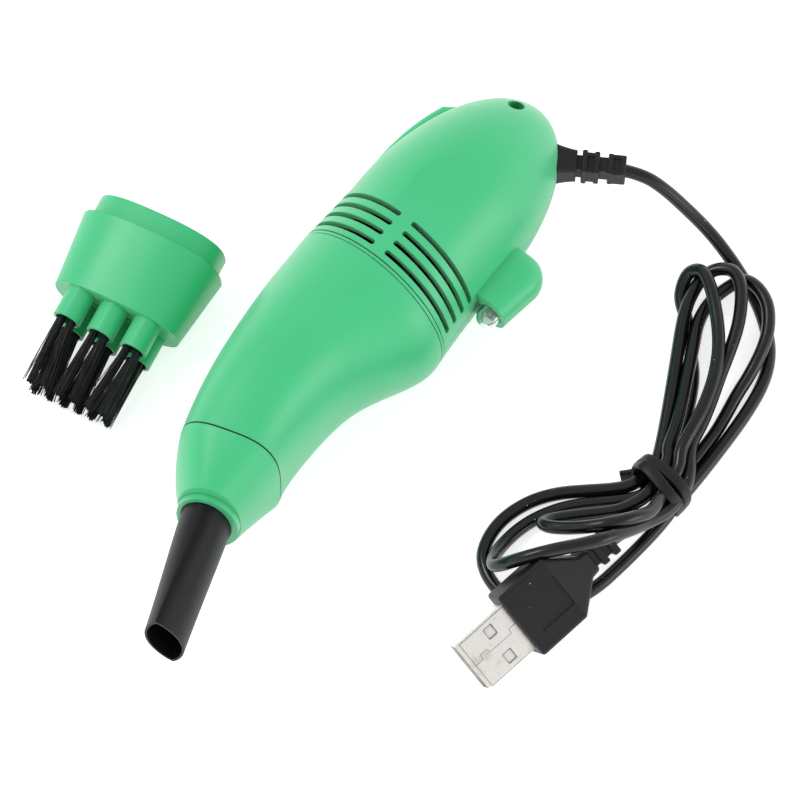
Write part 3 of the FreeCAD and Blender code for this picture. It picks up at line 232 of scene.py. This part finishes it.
def tint(colour):
    """Linear colour of an 0 to 255 one."""
    linear = []
    for value in colour:
        share = value / 255
        linear.append(share / 12.92 if share <= 0.04045 else ((share + 0.055) / 1.055) ** 2.4)
    return tuple(linear) + (1.0,)


# ---- shader graphs -----------------------------------------------------------------------------
def feed(tree, socket, value):
    """Link an input to another node's socket, or set it to a plain value."""
    if isinstance(value, bpy.types.NodeSocket):
        tree.links.new(value, socket)
    else:
        socket.default_value = value


def add(tree, kind, inputs=(), **settings):
    """Add a node, set it up, and feed its inputs with values or other nodes' sockets."""
    node = tree.nodes.new(kind)
    for name, value in settings.items():
        setattr(node, name, value)
    for name, value in dict(inputs).items():
        feed(tree, node.inputs[name], value)
    return node


def effect(name, inputs, outputs):
    """An empty node group with named inputs and outputs."""
    group = bpy.data.node_groups.new(name, "ShaderNodeTree")
    for label, kind, value in inputs:
        socket = group.interface.new_socket(label, in_out="INPUT", socket_type=kind)
        socket.default_value = value
    for label, kind in outputs:
        group.interface.new_socket(label, in_out="OUTPUT", socket_type=kind)
    return group, group.nodes.new("NodeGroupInput").outputs, group.nodes.new("NodeGroupOutput").inputs


def place(tree, group, **inputs):
    """Put a node group into a material and give its outputs."""
    node = tree.nodes.new("ShaderNodeGroup")
    node.node_tree = group
    for name, value in inputs.items():
        feed(tree, node.inputs[name.replace("_", " ")], value)
    return node.outputs


def spot(tree):
    """Place on the piece, in its own axes."""
    return add(tree, "ShaderNodeTexCoord").outputs["Object"]


def maths(tree, operation, a, b=0.5, clamp=False):
    """One operation on two values."""
    node = add(tree, "ShaderNodeMath", {0: a, 1: b}, operation=operation, use_clamp=clamp)
    return node.outputs[0]


def ramp(tree, value, low, high, to_low=0.0, to_high=1.0):
    """A value brought from one range to another."""
    inputs = {"Value": value, "From Min": low, "From Max": high, "To Min": to_low, "To Max": to_high}
    return add(tree, "ShaderNodeMapRange", inputs).outputs["Result"]


def spread(tree, value, to_low=0.0, to_high=1.0):
    """A noise, which is mostly between 0.3 and 0.7, brought to a range."""
    return ramp(tree, value, 0.3, 0.7, to_low, to_high)


def noise(tree, scale, detail=2.0, at=None):
    """Soft noise through the piece, or at given places."""
    inputs = {"Vector": at or spot(tree), "Scale": scale, "Detail": detail}
    return add(tree, "ShaderNodeTexNoise", inputs).outputs[0]


def mixed(tree, share, first, second):
    """Two colours mixed: inputs 6 and 7 and output 2 are the node's colour sockets."""
    node = tree.nodes.new("ShaderNodeMix")
    node.data_type = "RGBA"
    for index, value in ((0, share), (6, first), (7, second)):
        feed(tree, node.inputs[index], value)
    return node.outputs[2]


def make_grain():
    """Fine spark-eroded grain of a mould with slow waviness under it."""
    group, given, out = effect(
        "moulded grain",
        [("Scale", "NodeSocketFloat", 3000.0), ("Wave Scale", "NodeSocketFloat", 60.0),
         ("Wave Share", "NodeSocketFloat", 0.5)],
        [("Height", "NodeSocketFloat")],
    )
    fine = noise(group, given["Scale"], 3.0)
    wave = maths(group, "MULTIPLY", noise(group, given["Wave Scale"], 1.0), given["Wave Share"])
    group.links.new(maths(group, "ADD", fine, wave), out["Height"])
    return group


def make_drift():
    """Slow change of colour through a moulding."""
    group, given, out = effect(
        "tone drift",
        [("Base", "NodeSocketColor", (1, 1, 1, 1)), ("Other", "NodeSocketColor", (1, 1, 1, 1)),
         ("Scale", "NodeSocketFloat", 40.0)],
        [("Color", "NodeSocketColor")],
    )
    share = ramp(group, noise(group, given["Scale"], 3.0), 0.35, 0.65)
    group.links.new(mixed(group, share, given["Base"], given["Other"]), out["Color"])
    return group


def make_wear_and_highlight_edges():
    """Mask of rubbed edges, also used for painted highlight on edges: where a rounded normal leaves the
    face's own.
    """
    group, given, out = effect(
        "edge wear and painted highlight",
        [("Radius", "NodeSocketFloat", 0.0003), ("Reach", "NodeSocketFloat", 0.2),
         ("Scale", "NodeSocketFloat", 900.0)],
        [("Mask", "NodeSocketFloat"), ("Normal", "NodeSocketVector")],
    )
    rounded = add(group, "ShaderNodeBevel", {"Radius": given["Radius"]}, samples=4).outputs[0]
    own = add(group, "ShaderNodeNewGeometry").outputs["Normal"]
    product = add(group, "ShaderNodeVectorMath", {0: rounded, 1: own}, operation="DOT_PRODUCT")
    turned_off = maths(group, "SUBTRACT", 1.0, product.outputs["Value"])
    edge = ramp(group, turned_off, 0.0, given["Reach"])
    broken = ramp(group, noise(group, given["Scale"], 4.0), 0.38, 0.62)
    group.links.new(maths(group, "MULTIPLY", edge, broken, clamp=True), out["Mask"])
    group.links.new(rounded, out["Normal"])
    return group


def make_specks():
    """Mask of sparse specks: dust on a surface or dark grains in the plastic."""
    group, given, out = effect(
        "specks",
        [("Scale", "NodeSocketFloat", 500.0), ("Size", "NodeSocketFloat", 0.05),
         ("Patch Scale", "NodeSocketFloat", 60.0)],
        [("Mask", "NodeSocketFloat")],
    )
    cells = add(group, "ShaderNodeTexVoronoi", {"Vector": spot(group), "Scale": given["Scale"]})
    dot = maths(group, "LESS_THAN", cells.outputs["Distance"], given["Size"])
    patch = ramp(group, noise(group, given["Patch Scale"], 2.0), 0.5, 0.6)
    group.links.new(maths(group, "MULTIPLY", dot, patch), out["Mask"])
    return group


def make_crevices():
    """Mask of slots, grooves and corners that little light reaches."""
    group, given, out = effect(
        "crevices", [("Reach", "NodeSocketFloat", 0.002)], [("Mask", "NodeSocketFloat")],
    )
    sky = add(group, "ShaderNodeAmbientOcclusion", {"Distance": given["Reach"]}, samples=8)
    group.links.new(ramp(group, sky.outputs["AO"], CREVICE_START, CREVICE_FULL), out["Mask"])
    return group


def make_scuffs():
    """Mask of fine crossing scratches."""
    group, given, out = effect(
        "scuffs", [("Scale", "NodeSocketFloat", 90.0), ("Reach", "NodeSocketFloat", 0.01)],
        [("Mask", "NodeSocketFloat")],
    )
    masks = []
    for turn, stretch in SCUFF_WAYS:
        way = {"Vector": spot(group), "Rotation": (0.3 * turn, 0.2, turn), "Scale": (1.0, stretch, 1.0)}
        at = add(group, "ShaderNodeMapping", way).outputs[0]
        off = maths(group, "SUBTRACT", noise(group, given["Scale"], 1.0, at), 0.5)
        masks.append(maths(group, "LESS_THAN", maths(group, "ABSOLUTE", off), given["Reach"]))
    group.links.new(maths(group, "MULTIPLY", masks[0], masks[1]), out["Mask"])
    return group


GRAIN = make_grain()
DRIFT = make_drift()
WEAR_AND_HIGHLIGHT_EDGES = make_wear_and_highlight_edges()
SPECKS = make_specks()
CREVICES = make_crevices()
SCUFFS = make_scuffs()


def material(name):
    """A material with its Principled shader ready."""
    made = bpy.data.materials.new(name)
    made.use_nodes = True
    made.node_tree.nodes.clear()
    tree = made.node_tree
    shader = tree.nodes.new("ShaderNodeBsdfPrincipled")
    end = tree.nodes.new("ShaderNodeOutputMaterial")
    tree.links.new(shader.outputs[0], end.inputs[0])
    return made, tree, shader


def bumped(tree, height, normal, distance):
    """A normal disturbed by a height, with its depth in metres."""
    inputs = {"Height": height, "Normal": normal, "Strength": 1.0, "Distance": distance}
    return add(tree, "ShaderNodeBump", inputs).outputs[0]


def moulded(name, colour, other, rough, grain=3200.0, deep=6e-6, wave=0.6, speck_tone=None, speck_size=0.05,
            round_edge=0.00025, wear_and_highlight_tone=None, gloss=0.5, haze=0.0, shade=None, shade_reach=0.002):
    """Moulded plastic or rubber: drifting tone, specks, rubbed edges that partly carry painted highlight, and
    a grained skin.
    """
    made, tree, shader = material(name)
    tone = place(tree, DRIFT, Base=tint(colour), Other=tint(other))["Color"]
    edge = place(tree, WEAR_AND_HIGHLIGHT_EDGES, Radius=round_edge)
    # lighter edges: wear, and on the green also painted highlight
    if wear_and_highlight_tone:
        tone = mixed(tree, maths(tree, "MULTIPLY", edge["Mask"], WEAR_AND_HIGHLIGHT_SHARE), tone, tint(wear_and_highlight_tone))
    if speck_tone:
        mask = place(tree, SPECKS, Size=speck_size)["Mask"]
        tone = mixed(tree, mask, tone, tint(speck_tone))
    if shade:
        tone = mixed(tree, place(tree, CREVICES, Reach=shade_reach)["Mask"], tone, tint(shade))
    tree.links.new(tone, shader.inputs["Base Color"])
    scuffed = maths(tree, "MULTIPLY", place(tree, SCUFFS)["Mask"], SCUFF_POLISH)
    patchy = spread(tree, noise(tree, 35.0, 3.0), rough - ROUGH_PATCHES, rough + ROUGH_PATCHES)
    tree.links.new(maths(tree, "ADD", patchy, scuffed), shader.inputs["Roughness"])
    height = place(tree, GRAIN, Scale=grain, Wave_Share=wave)["Height"]
    tree.links.new(bumped(tree, height, edge["Normal"], deep), shader.inputs["Normal"])
    shader.inputs["Specular IOR Level"].default_value = gloss
    shader.inputs["Sheen Weight"].default_value = haze
    shader.inputs["Sheen Roughness"].default_value = 0.4
    return made


def metal(name, colour, other, rough, along=(1.0, 30.0, 30.0), stain=None, shade=None,
          shade_reach=0.0014):
    """Rolled or turned metal: streaks along one direction and soft stains."""
    made, tree, shader = material(name)
    at = add(tree, "ShaderNodeMapping", {"Vector": spot(tree), "Scale": along}).outputs[0]
    streak = noise(tree, 160.0, 4.0, at)
    tone = mixed(tree, spread(tree, streak), tint(colour), tint(other))
    if stain:
        stained = ramp(tree, noise(tree, 320.0, 4.0), 0.55, 0.75, 0.0, 0.6)
        tone = mixed(tree, stained, tone, tint(stain))
    if shade:
        tone = mixed(tree, place(tree, CREVICES, Reach=shade_reach)["Mask"], tone, tint(shade))
    tree.links.new(tone, shader.inputs["Base Color"])
    shader.inputs["Metallic"].default_value = 1.0
    tree.links.new(spread(tree, streak, rough - 0.06, rough + 0.08), shader.inputs["Roughness"])
    edge = place(tree, WEAR_AND_HIGHLIGHT_EDGES, Radius=0.00012)
    tree.links.new(bumped(tree, streak, edge["Normal"], 2e-6), shader.inputs["Normal"])
    return made


def clear_epoxy():
    """Clear resin, darker where it is seen along its surface, which is painted shade."""
    made, tree, shader = material("clear lamp epoxy")
    cloud = noise(tree, 400.0, 2.0)
    tone = mixed(tree, ramp(tree, cloud, 0.4, 0.6), EPOXY, EPOXY_DRIFT)
    # painted shade: the lens darkens where its surface is seen edge-on
    grazing = add(tree, "ShaderNodeLayerWeight", {"Blend": 0.5}).outputs["Facing"]
    tone = mixed(tree, ramp(tree, grazing, 0.25, 0.75, 0.0, 0.95), tone, EPOXY_PAINTED_RIM_SHADE)
    tree.links.new(tone, shader.inputs["Base Color"])
    tree.links.new(spread(tree, cloud, 0.02, 0.06), shader.inputs["Roughness"])
    shader.inputs["Transmission Weight"].default_value = 0.72
    shader.inputs["IOR"].default_value = 1.52
    shader.inputs["Specular IOR Level"].default_value = 0.25
    return made


def woven_filter():
    """White filter cloth of crossing threads."""
    made, tree, shader = material("filter cloth")
    threads = []
    for turn in (0.0, math.pi / 2):
        way = {"Vector": spot(tree), "Rotation": (turn, 0.0, 0.0)}
        at = add(tree, "ShaderNodeMapping", way).outputs[0]
        wave = add(tree, "ShaderNodeTexWave", {"Vector": at, "Scale": 1400.0, "Distortion": 1.5},
                   bands_direction="Z")
        threads.append(wave.outputs["Fac"])
    weave = maths(tree, "ADD", threads[0], threads[1])
    tone = mixed(tree, ramp(tree, weave, 0.2, 1.6), tint((196, 196, 190)), tint((238, 238, 232)))
    tree.links.new(tone, shader.inputs["Base Color"])
    shader.inputs["Roughness"].default_value = 0.9
    shader.inputs["Sheen Weight"].default_value = 0.3
    edge = place(tree, WEAR_AND_HIGHLIGHT_EDGES, Radius=0.0001)
    tree.links.new(bumped(tree, weave, edge["Normal"], 3e-5), shader.inputs["Normal"])
    return made


def banded_resistor():
    """Tan lacquer with colour rings round the body."""
    made, tree, shader = material("resistor lacquer")
    along = add(tree, "ShaderNodeSeparateXYZ", {0: spot(tree)}).outputs["X"]
    tone = tint((196, 164, 116))
    for middle, colour in RESISTOR_RINGS:
        off = maths(tree, "ABSOLUTE", maths(tree, "SUBTRACT", along, middle * MM))
        tone = mixed(tree, maths(tree, "LESS_THAN", off, RESISTOR_RING_HALF * MM), tone, tint(colour))
    tree.links.new(tone, shader.inputs["Base Color"])
    tree.links.new(spread(tree, noise(tree, 900.0), 0.3, 0.45), shader.inputs["Roughness"])
    return made


def cord_skin():
    """Glossy soft PVC, a little wavy, with some dust."""
    made, tree, shader = material("cord skin")
    tone = place(tree, DRIFT, Base=tint(BLACK_CORD), Other=tint((15, 15, 17)), Scale=90.0)["Color"]
    dust = place(tree, SPECKS, Scale=420.0, Size=0.06)["Mask"]
    tree.links.new(mixed(tree, dust, tone, tint(DUST)), shader.inputs["Base Color"])
    tree.links.new(spread(tree, noise(tree, 140.0, 4.0), 0.17, 0.28), shader.inputs["Roughness"])
    own = add(tree, "ShaderNodeNewGeometry").outputs["Normal"]
    height = place(tree, GRAIN, Scale=2200.0, Wave_Scale=240.0, Wave_Share=1.5)["Height"]
    tree.links.new(bumped(tree, height, own, 5e-6), shader.inputs["Normal"])
    return made


def nylon():
    """Bristle nylon, a little uneven in tone and gloss."""
    made, tree, shader = material("bristle nylon")
    share = ramp(tree, noise(tree, 1600.0), 0.35, 0.65)
    tone = mixed(tree, share, tint(BLACK_BRISTLE), tint((26, 25, 26)))
    tree.links.new(tone, shader.inputs["Base Color"])
    tree.links.new(spread(tree, noise(tree, 700.0), 0.3, 0.5), shader.inputs["Roughness"])
    return made


MATERIALS = {
    # the green's lighter edges are partly wear and partly painted highlight
    "green": moulded("green moulded plastic", GREEN, GREEN_DRIFT, 0.38, speck_tone=(38, 120, 74),
                     speck_size=0.045, wear_and_highlight_tone=GREEN_WEAR_AND_HIGHLIGHT, gloss=0.6, haze=0.32, shade=GREEN_SHADE),
    "ring_green": moulded("green ring plastic", GREEN, GREEN_DRIFT, 0.38, wear_and_highlight_tone=GREEN_WEAR_AND_HIGHLIGHT, gloss=0.6,
                          haze=0.32),
    "rubber": moulded("black moulded rubber", BLACK_RUBBER, (22, 22, 26), 0.44, grain=2400.0, deep=1.4e-5,
                      speck_tone=DUST, speck_size=0.06, wear_and_highlight_tone=(60, 60, 64), gloss=0.36,
                      shade=(3, 3, 4), shade_reach=0.001),
    "tube": moulded("black nozzle plastic", BLACK_TUBE, (21, 21, 22), 0.46, grain=2600.0, deep=8e-6,
                    speck_tone=(120, 120, 118), speck_size=0.03, wear_and_highlight_tone=(70, 70, 72), gloss=0.22),
    "inner_black": moulded("black inner plastic", (20, 20, 22), (26, 26, 28), 0.5),
    "fan": moulded("grey fan plastic", (44, 46, 48), (52, 54, 56), 0.45, wear_and_highlight_tone=(90, 92, 94)),
    "white": moulded("white insulator plastic", (222, 222, 218), (230, 230, 226), 0.5,
                     shade=(120, 120, 124), shade_reach=0.0016),
    "magnet": moulded("sintered magnet", (52, 50, 50), (62, 60, 58), 0.62, grain=1500.0, deep=2e-5),
    "wire": moulded("red wire insulation", (150, 24, 22), (168, 32, 28), 0.42),
    "steel": metal("plated steel", (176, 176, 174), (198, 197, 194), 0.30),
    "shell": metal("tinned plug shell", (238, 232, 226), (248, 245, 241), 0.34, (30.0, 2.0, 30.0),
                   stain=(204, 192, 180), shade=(52, 40, 30)),
    "brass": metal("brass", (196, 160, 92), (212, 176, 108), 0.28),
    "gold": metal("gold flash", (226, 182, 92), (236, 196, 112), 0.22),
    # dark seam joint, and painted shade lines at the shell's folds and window rims
    "seam_and_shade_lines": moulded("shadow line", (58, 52, 48), (70, 64, 60), 0.7),
    "lens": clear_epoxy(),
    "cloth": woven_filter(),
    "resistor": banded_resistor(),
    "cord": cord_skin(),
    "bristle": nylon(),
}

NODE_FINISH = {
    "green": ["housing_left", "housing_right", "dust_chamber", "nozzle_cap", "brush_head", "switch_knob"],
    "ring_green": ["fan_cover"],
    "rubber": ["strain_relief", "usb_overmould"],
    "tube": ["crevice_tube"],
    "inner_black": ["switch_case"],
    "fan": ["fan_wheel", "filter_basket"],
    "white": ["motor_end_cap", "motor_bulkhead", "usb_tongue", "switch_lever"],
    "magnet": ["motor_magnets"],
    "wire": ["inner_wires"],
    "steel": ["housing_screw", "motor_shaft", "motor_can", "motor_screws", "motor_armature",
              "switch_plate", "led_leads"],
    "shell": ["usb_shell"],
    "brass": ["motor_terminals", "switch_pins"],
    "gold": ["usb_contacts"],
    "cloth": ["filter_cloth"],
    "resistor": ["led_resistor"],
}


def finish_nodes():
    """Give the construction's own pieces their materials."""
    for finish, names in NODE_FINISH.items():
        for name in names:
            slots = NODES[name].data.materials
            slots.clear()
            slots.append(MATERIALS[finish])


# ---- making pieces -----------------------------------------------------------------------------
def new_piece(name, data, finish, body):
    """A new piece with its material, riding a body."""
    piece = bpy.data.objects.new(name, data)
    bpy.context.scene.collection.objects.link(piece)
    data.materials.append(MATERIALS[finish])
    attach(piece, body)
    return piece


def mesh_piece(name, points, faces, finish, body, smooth=True):
    """A new piece from points given in millimetres."""
    data = bpy.data.meshes.new(name)
    data.from_pydata([Vector(p) * MM for p in points], [], faces)
    for face in data.polygons:
        face.use_smooth = smooth
    data.update()
    return new_piece(name, data, finish, body)


def round_curve(name, thickness, roundness):
    """An empty curve whose lines are drawn as round rods."""
    data = bpy.data.curves.new(name, "CURVE")
    data.dimensions = "3D"
    data.bevel_depth = thickness / 2 * MM
    data.bevel_resolution = roundness
    return data


def add_line(data, points, kind="POLY"):
    """A line of a curve through points, or a spline over them, in millimetres."""
    spline = data.splines.new(kind)
    spline.points.add(len(points) - 1)
    for point, at in zip(spline.points, points):
        point.co = tuple(Vector(at) * MM) + (1.0,)
    return spline


def smooth_cable(name, points, thickness):
    """A round smooth cable over control points given in millimetres."""
    data = round_curve(name, thickness, 6)
    spline = add_line(data, points, "NURBS")
    spline.order_u = 3
    spline.use_endpoint_u = True
    spline.resolution_u = 8
    return data


def smooth_loop(points, closed, steps=8):
    """Points along a Catmull-Rom curve through the given ones."""
    line = [Vector(p) for p in points]
    count = len(line)
    path = []
    for k in range(count if closed else count - 1):
        a, b = line[k], line[(k + 1) % count]
        before = line[k - 1] if closed or k else a
        after = line[(k + 2) % count] if closed or k + 2 < count else b
        for step in range(steps):
            t = step / steps
            path.append(0.5 * ((2 * a) + (b - before) * t + (2 * before - 5 * a + 4 * b - after) * t * t
                               + (3 * a - before - 3 * b + after) * t ** 3))
    if not closed:
        path.append(line[-1])
    return path


def rounded_profile(width, thick, corner=0.3, per_corner=3):
    """Outline of a flat strap: (across, out) pairs."""
    outline = []
    for side_x, side_y, start in ((1, 1, 0), (-1, 1, 90), (-1, -1, 180), (1, -1, 270)):
        for k in range(per_corner + 1):
            a = math.radians(start + 90 * k / per_corner)
            x = side_x * (width / 2 - corner) + corner * math.cos(a)
            y = side_y * (thick / 2 - corner) + corner * math.sin(a)
            outline.append((x, y))
    return outline


def strap(name, points, closed, finish, body):
    """A flat moulded strap laid along points, its face turned away from the middle of the hank."""
    path = smooth_loop(points, closed)
    profile = rounded_profile(TIE_WIDTH, TIE_THICK)
    centre = Vector(TIE_CENTRE)
    verts, faces = [], []
    count, ring = len(path), len(profile)
    for k, at in enumerate(path):
        ahead = path[(k + 1) % count] if closed or k + 1 < count else at
        behind = path[k - 1] if closed or k else at
        along = (ahead - behind).normalized()
        out = at - centre
        out.x *= TIE_LENGTHWISE
        out = (out - along * out.dot(along)).normalized()
        across = along.cross(out)
        verts += [at + across * x + out * y for x, y in profile]
    for k in range(count if closed else count - 1):
        n = (k + 1) % count
        for j in range(ring):
            i = (j + 1) % ring
            faces.append((k * ring + j, k * ring + i, n * ring + i, n * ring + j))
    if not closed:
        faces.append(tuple(reversed(range(ring))))
        faces.append(tuple(range((count - 1) * ring, count * ring)))
    return mesh_piece(name, verts, faces, finish, body)


# ---- pieces ------------------------------------------------------------------------------------
def make_cord():
    """One cable from the strain relief through its tied hank to the plug."""
    route = list(FROM_HOUSING)
    for turn in HANK_TURNS:
        route += turn
    route += INTO_PLUG
    cable = smooth_cable("usb_cord", route, CABLE_D)
    cord = new_piece("usb_cord", cable, "cord", "housing")
    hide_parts("cable_lead", "cable_bundle")
    plug = [NODES[n] for n in ("usb_overmould", "usb_shell", "usb_tongue", "usb_contacts")]
    return cord, plug


def make_tie():
    """The two turns of the strap round the hank, and its end."""
    pieces = [
        strap("tie_first_turn", TIE_FIRST_TURN, True, "rubber", "housing"),
        strap("tie_second_turn", TIE_SECOND_TURN, True, "rubber", "housing"),
        strap("tie_end", TIE_STUB, False, "rubber", "housing"),
    ]
    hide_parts("cable_tie")
    return pieces


def plug_point(x, y, z):
    """Point of the plug's own axes in the part's frame, in millimetres."""
    axis = PLUG_AXIS.normalized()
    side = PLUG_UP.cross(axis).normalized()
    up = axis.cross(side)
    return PLUG_ROOT + axis * x + side * y + up * z


def make_shell_seam():
    """Closing seam of the rolled plug shell, with painted shade lines along its folds and window rims."""
    data = round_curve("shell_seam", SEAM_AND_SHADE_LINE_D, 1)
    near, far, half = WINDOW_X, WINDOW_X + WINDOW_LEN, WINDOW_W / 2
    # painted shade rims round the latch windows
    window_shade_rims = []
    for y in (-WINDOW_Y, WINDOW_Y):
        low, high = y - half, y + half
        window_shade_rims.append([(near, low), (far, low), (far, high), (near, high), (near, low)])
    for line in [SHELL_SEAM] + SHELL_FOLD_SHADE_LINES + window_shade_rims:
        add_line(data, [plug_point(x, y, SHELL_TOP - SEAM_AND_SHADE_LINE_SUNK) for x, y in line])
    new_piece("shell_seam", data, "seam_and_shade_lines", "housing")


def make_lamp():
    """Clear lamp: a domed lens turned about its axis, with its lead frame cast inside."""
    low, high = (Vector(corner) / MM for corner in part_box("led"))
    back = Vector((high.x, (low.y + high.y) / 2, (low.z + high.z) / 2))
    length = high.x - low.x
    radius = (high.z - low.z) / 2 - LAMP_RIM
    dome_start = radius - length
    flange = radius + LAMP_RIM
    profile = [(0.0, 0.0), (0.0, flange), (-LAMP_RIM_LEN, flange), (-LAMP_RIM_LEN, radius)]
    for k in range(LAMP_DOME_RINGS):
        a = math.radians(90 * k / LAMP_DOME_RINGS)
        profile.append((dome_start - radius * math.sin(a), radius * math.cos(a)))
    lens = turned("lamp_lens", back, profile, Vector((-length, 0, 0)), "lens")
    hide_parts("led")
    for name, z, width, reach in LEAD_POSTS:
        lead_frame(name, back + Vector((-LEAD_SUNK, 0, z)), width, reach)


def turned(name, back, profile, tip, finish, around=48):
    """Surface turned about a line along X: profile pairs are (along, radius)."""
    verts = [back.copy()]
    for along, radius in profile[1:]:
        for k in range(around):
            a = 2 * math.pi * k / around
            verts.append(back + Vector((along, radius * math.cos(a), radius * math.sin(a))))
    verts.append(back + tip)
    faces = [(0, 1 + (k + 1) % around, 1 + k) for k in range(around)]
    rings = len(profile) - 1
    for r in range(rings - 1):
        a, b = 1 + r * around, 1 + (r + 1) * around
        faces += [(a + k, a + (k + 1) % around, b + (k + 1) % around, b + k) for k in range(around)]
    last = 1 + (rings - 1) * around
    faces += [(last + k, last + (k + 1) % around, len(verts) - 1) for k in range(around)]
    piece = mesh_piece(name, verts, faces, finish, "housing")
    edge = piece.modifiers.new("rim edge", "EDGE_SPLIT")
    edge.split_angle = math.radians(50)
    return piece


def lead_frame(name, at, width, reach):
    """One stamped post of the lamp's lead frame, wider at its head."""
    neck, head = -reach * 0.55, -reach * 0.65
    outline = [(0.0, LEAD_HALF), (neck, LEAD_HALF), (head, width / 2), (-reach, width / 2)]
    outline += [(x, -y) for x, y in reversed(outline)]
    verts = [at + Vector((x, side * LEAD_HALF, y)) for side in (-1, 1) for x, y in outline]
    n = len(outline)
    faces = [tuple(range(n)), tuple(reversed(range(n, 2 * n)))]
    faces += [(k, k + n, (k + 1) % n + n, (k + 1) % n) for k in range(n)]
    piece = mesh_piece(name, verts, faces, "steel", "housing", smooth=False)
    edge = piece.modifiers.new("stamped edge", "BEVEL")
    edge.width = LEAD_EDGE * MM
    edge.segments = 2


def brush_point(x, y, z):
    """Point of the brush's own axes in the part's frame, in millimetres."""
    a, b = math.radians(180 + BRUSH_TURN), math.radians(BRUSH_TILT)
    ahead = Vector((math.cos(a) * math.cos(b), math.sin(a) * math.cos(b), -math.sin(b)))
    side = Vector((0, 0, 1)).cross(ahead).normalized()
    return BRUSH_AT + ahead * x + side * y + ahead.cross(side) * z


def make_bristles():
    """Tufts of nylon bristles, each folded into its tube as two clumps that fan out."""
    draw = random.Random(BRISTLE_SEED)
    data = round_curve("bristle_tufts", BRISTLE_D, 0)
    for row in (-1, 1):
        for column in (-1, 0, 1):
            for k in range(BRISTLES):
                add_bristle(data, draw, row, column, -1 if k % 2 else 1)
    tufts = new_piece("bristle_tufts", data, "bristle", "brush")
    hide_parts("brush_bristles")


def add_bristle(data, draw, row, column, clump):
    """One bristle of a clump: it starts in the tube, leans with its tuft and bows a little."""
    angle = draw.uniform(0, 2 * math.pi)
    reach = math.sqrt(draw.random())
    y = column * TUFT_PITCH + clump * CLUMP_OFF + reach * CLUMP_HALF_Y * math.cos(angle)
    z = row * TUFT_ROWS / 2 + reach * CLUMP_HALF_Z * math.sin(angle)
    lean_y = -column * TUFT_CLOSING + clump * CLUMP_FAN + draw.gauss(0, LEAN_SPREAD_Y)
    lean_z = draw.gauss(0, LEAN_SPREAD_Z) - (ROW_CLOSING if row > 0 else 0.0)
    bow = draw.gauss(0, BOW_SPREAD)
    out = TUFT_OUT - abs(draw.gauss(0, TRIM_SPREAD))
    if draw.random() < STRAY_SHARE:
        lean_y += draw.gauss(0, STRAY_SPREAD)
    path = []
    for k in range(BRISTLE_STEPS + 1):
        t = k / BRISTLE_STEPS
        x = TUFT_MOUTH - TUFT_IN + (TUFT_IN + out) * t
        lean = t ** LEAN_CURVE
        path.append(brush_point(x, y + lean_y * lean + bow * math.sin(math.pi * t), z + lean_z * lean))
    add_line(data, path)


# ---- stage -------------------------------------------------------------------------------------
def make_camera():
    """A long lens that looks down on the table."""
    camera = bpy.data.objects.new("camera", bpy.data.cameras.new("camera"))
    bpy.context.scene.collection.objects.link(camera)
    way = Vector(LOOK_FROM).normalized()
    camera.location = (Vector(LOOK_AT) + way * CAMERA_AWAY) * MM
    camera.rotation_euler = way.to_track_quat("Z", "Y").to_euler()
    camera.data.lens = LENS
    camera.data.sensor_width = SENSOR
    camera.data.clip_end = VIEW_END
    bpy.context.scene.camera = camera


def make_floor():
    """A pale floor that the camera, reflections and the lens see lighter than it lights."""
    half = FLOOR_SIDE / MM / 2
    corners = [(-half, -half, 0), (half, -half, 0), (half, half, 0), (-half, half, 0)]
    data = bpy.data.meshes.new("floor")
    data.from_pydata([Vector(c) * MM for c in corners], [], [(0, 1, 2, 3)])
    floor = bpy.data.objects.new("floor", data)
    bpy.context.scene.collection.objects.link(floor)
    made = bpy.data.materials.new("pale floor")
    made.use_nodes = True
    tree = made.node_tree
    tree.nodes.clear()
    grey = (FLOOR_TONE, FLOOR_TONE, FLOOR_TONE, 1)
    card = add(tree, "ShaderNodeBsdfDiffuse", {"Color": grey}).outputs[0]
    lift = add(tree, "ShaderNodeEmission", {"Strength": FLOOR_LIFT}).outputs[0]
    rays = add(tree, "ShaderNodeLightPath").outputs
    seen = maths(tree, "MAXIMUM", rays["Is Camera Ray"], rays["Is Glossy Ray"])
    seen = maths(tree, "MAXIMUM", seen, rays["Is Transmission Ray"])
    lit = add(tree, "ShaderNodeAddShader", {0: card, 1: lift}).outputs[0]
    blend = add(tree, "ShaderNodeMixShader", {0: seen, 1: card, 2: lit}).outputs[0]
    add(tree, "ShaderNodeOutputMaterial", {"Surface": blend})
    data.materials.append(made)


def make_light():
    """Even surroundings, brighter at the horizon, and the softboxes."""
    world = bpy.data.worlds.new("studio")
    bpy.context.scene.world = world
    world.use_nodes = True
    tree = world.node_tree
    way = add(tree, "ShaderNodeTexCoord").outputs["Generated"]
    height = add(tree, "ShaderNodeSeparateXYZ", {0: way}).outputs["Z"]
    sky = tree.nodes["Background"]
    sky.inputs["Color"].default_value = (1, 1, 1, 1)
    tree.links.new(ramp(tree, height, 0.0, SKY_TURN, SKY_LOW, SKY_HIGH), sky.inputs["Strength"])
    for name, at, size, power in SOFTBOXES:
        lamp = bpy.data.objects.new(name, bpy.data.lights.new(name, "AREA"))
        bpy.context.scene.collection.objects.link(lamp)
        lamp.location = at
        lamp.rotation_euler = Vector(at).to_track_quat("Z", "Y").to_euler()
        lamp.data.size = size
        lamp.data.energy = power


make_camera()
make_floor()
make_light()
finish_nodes()
cord, plug_pieces = make_cord()
ties = make_tie()
make_shell_seam()
make_lamp()
make_bristles()
bpy.context.scene.view_settings.view_transform = "Standard"
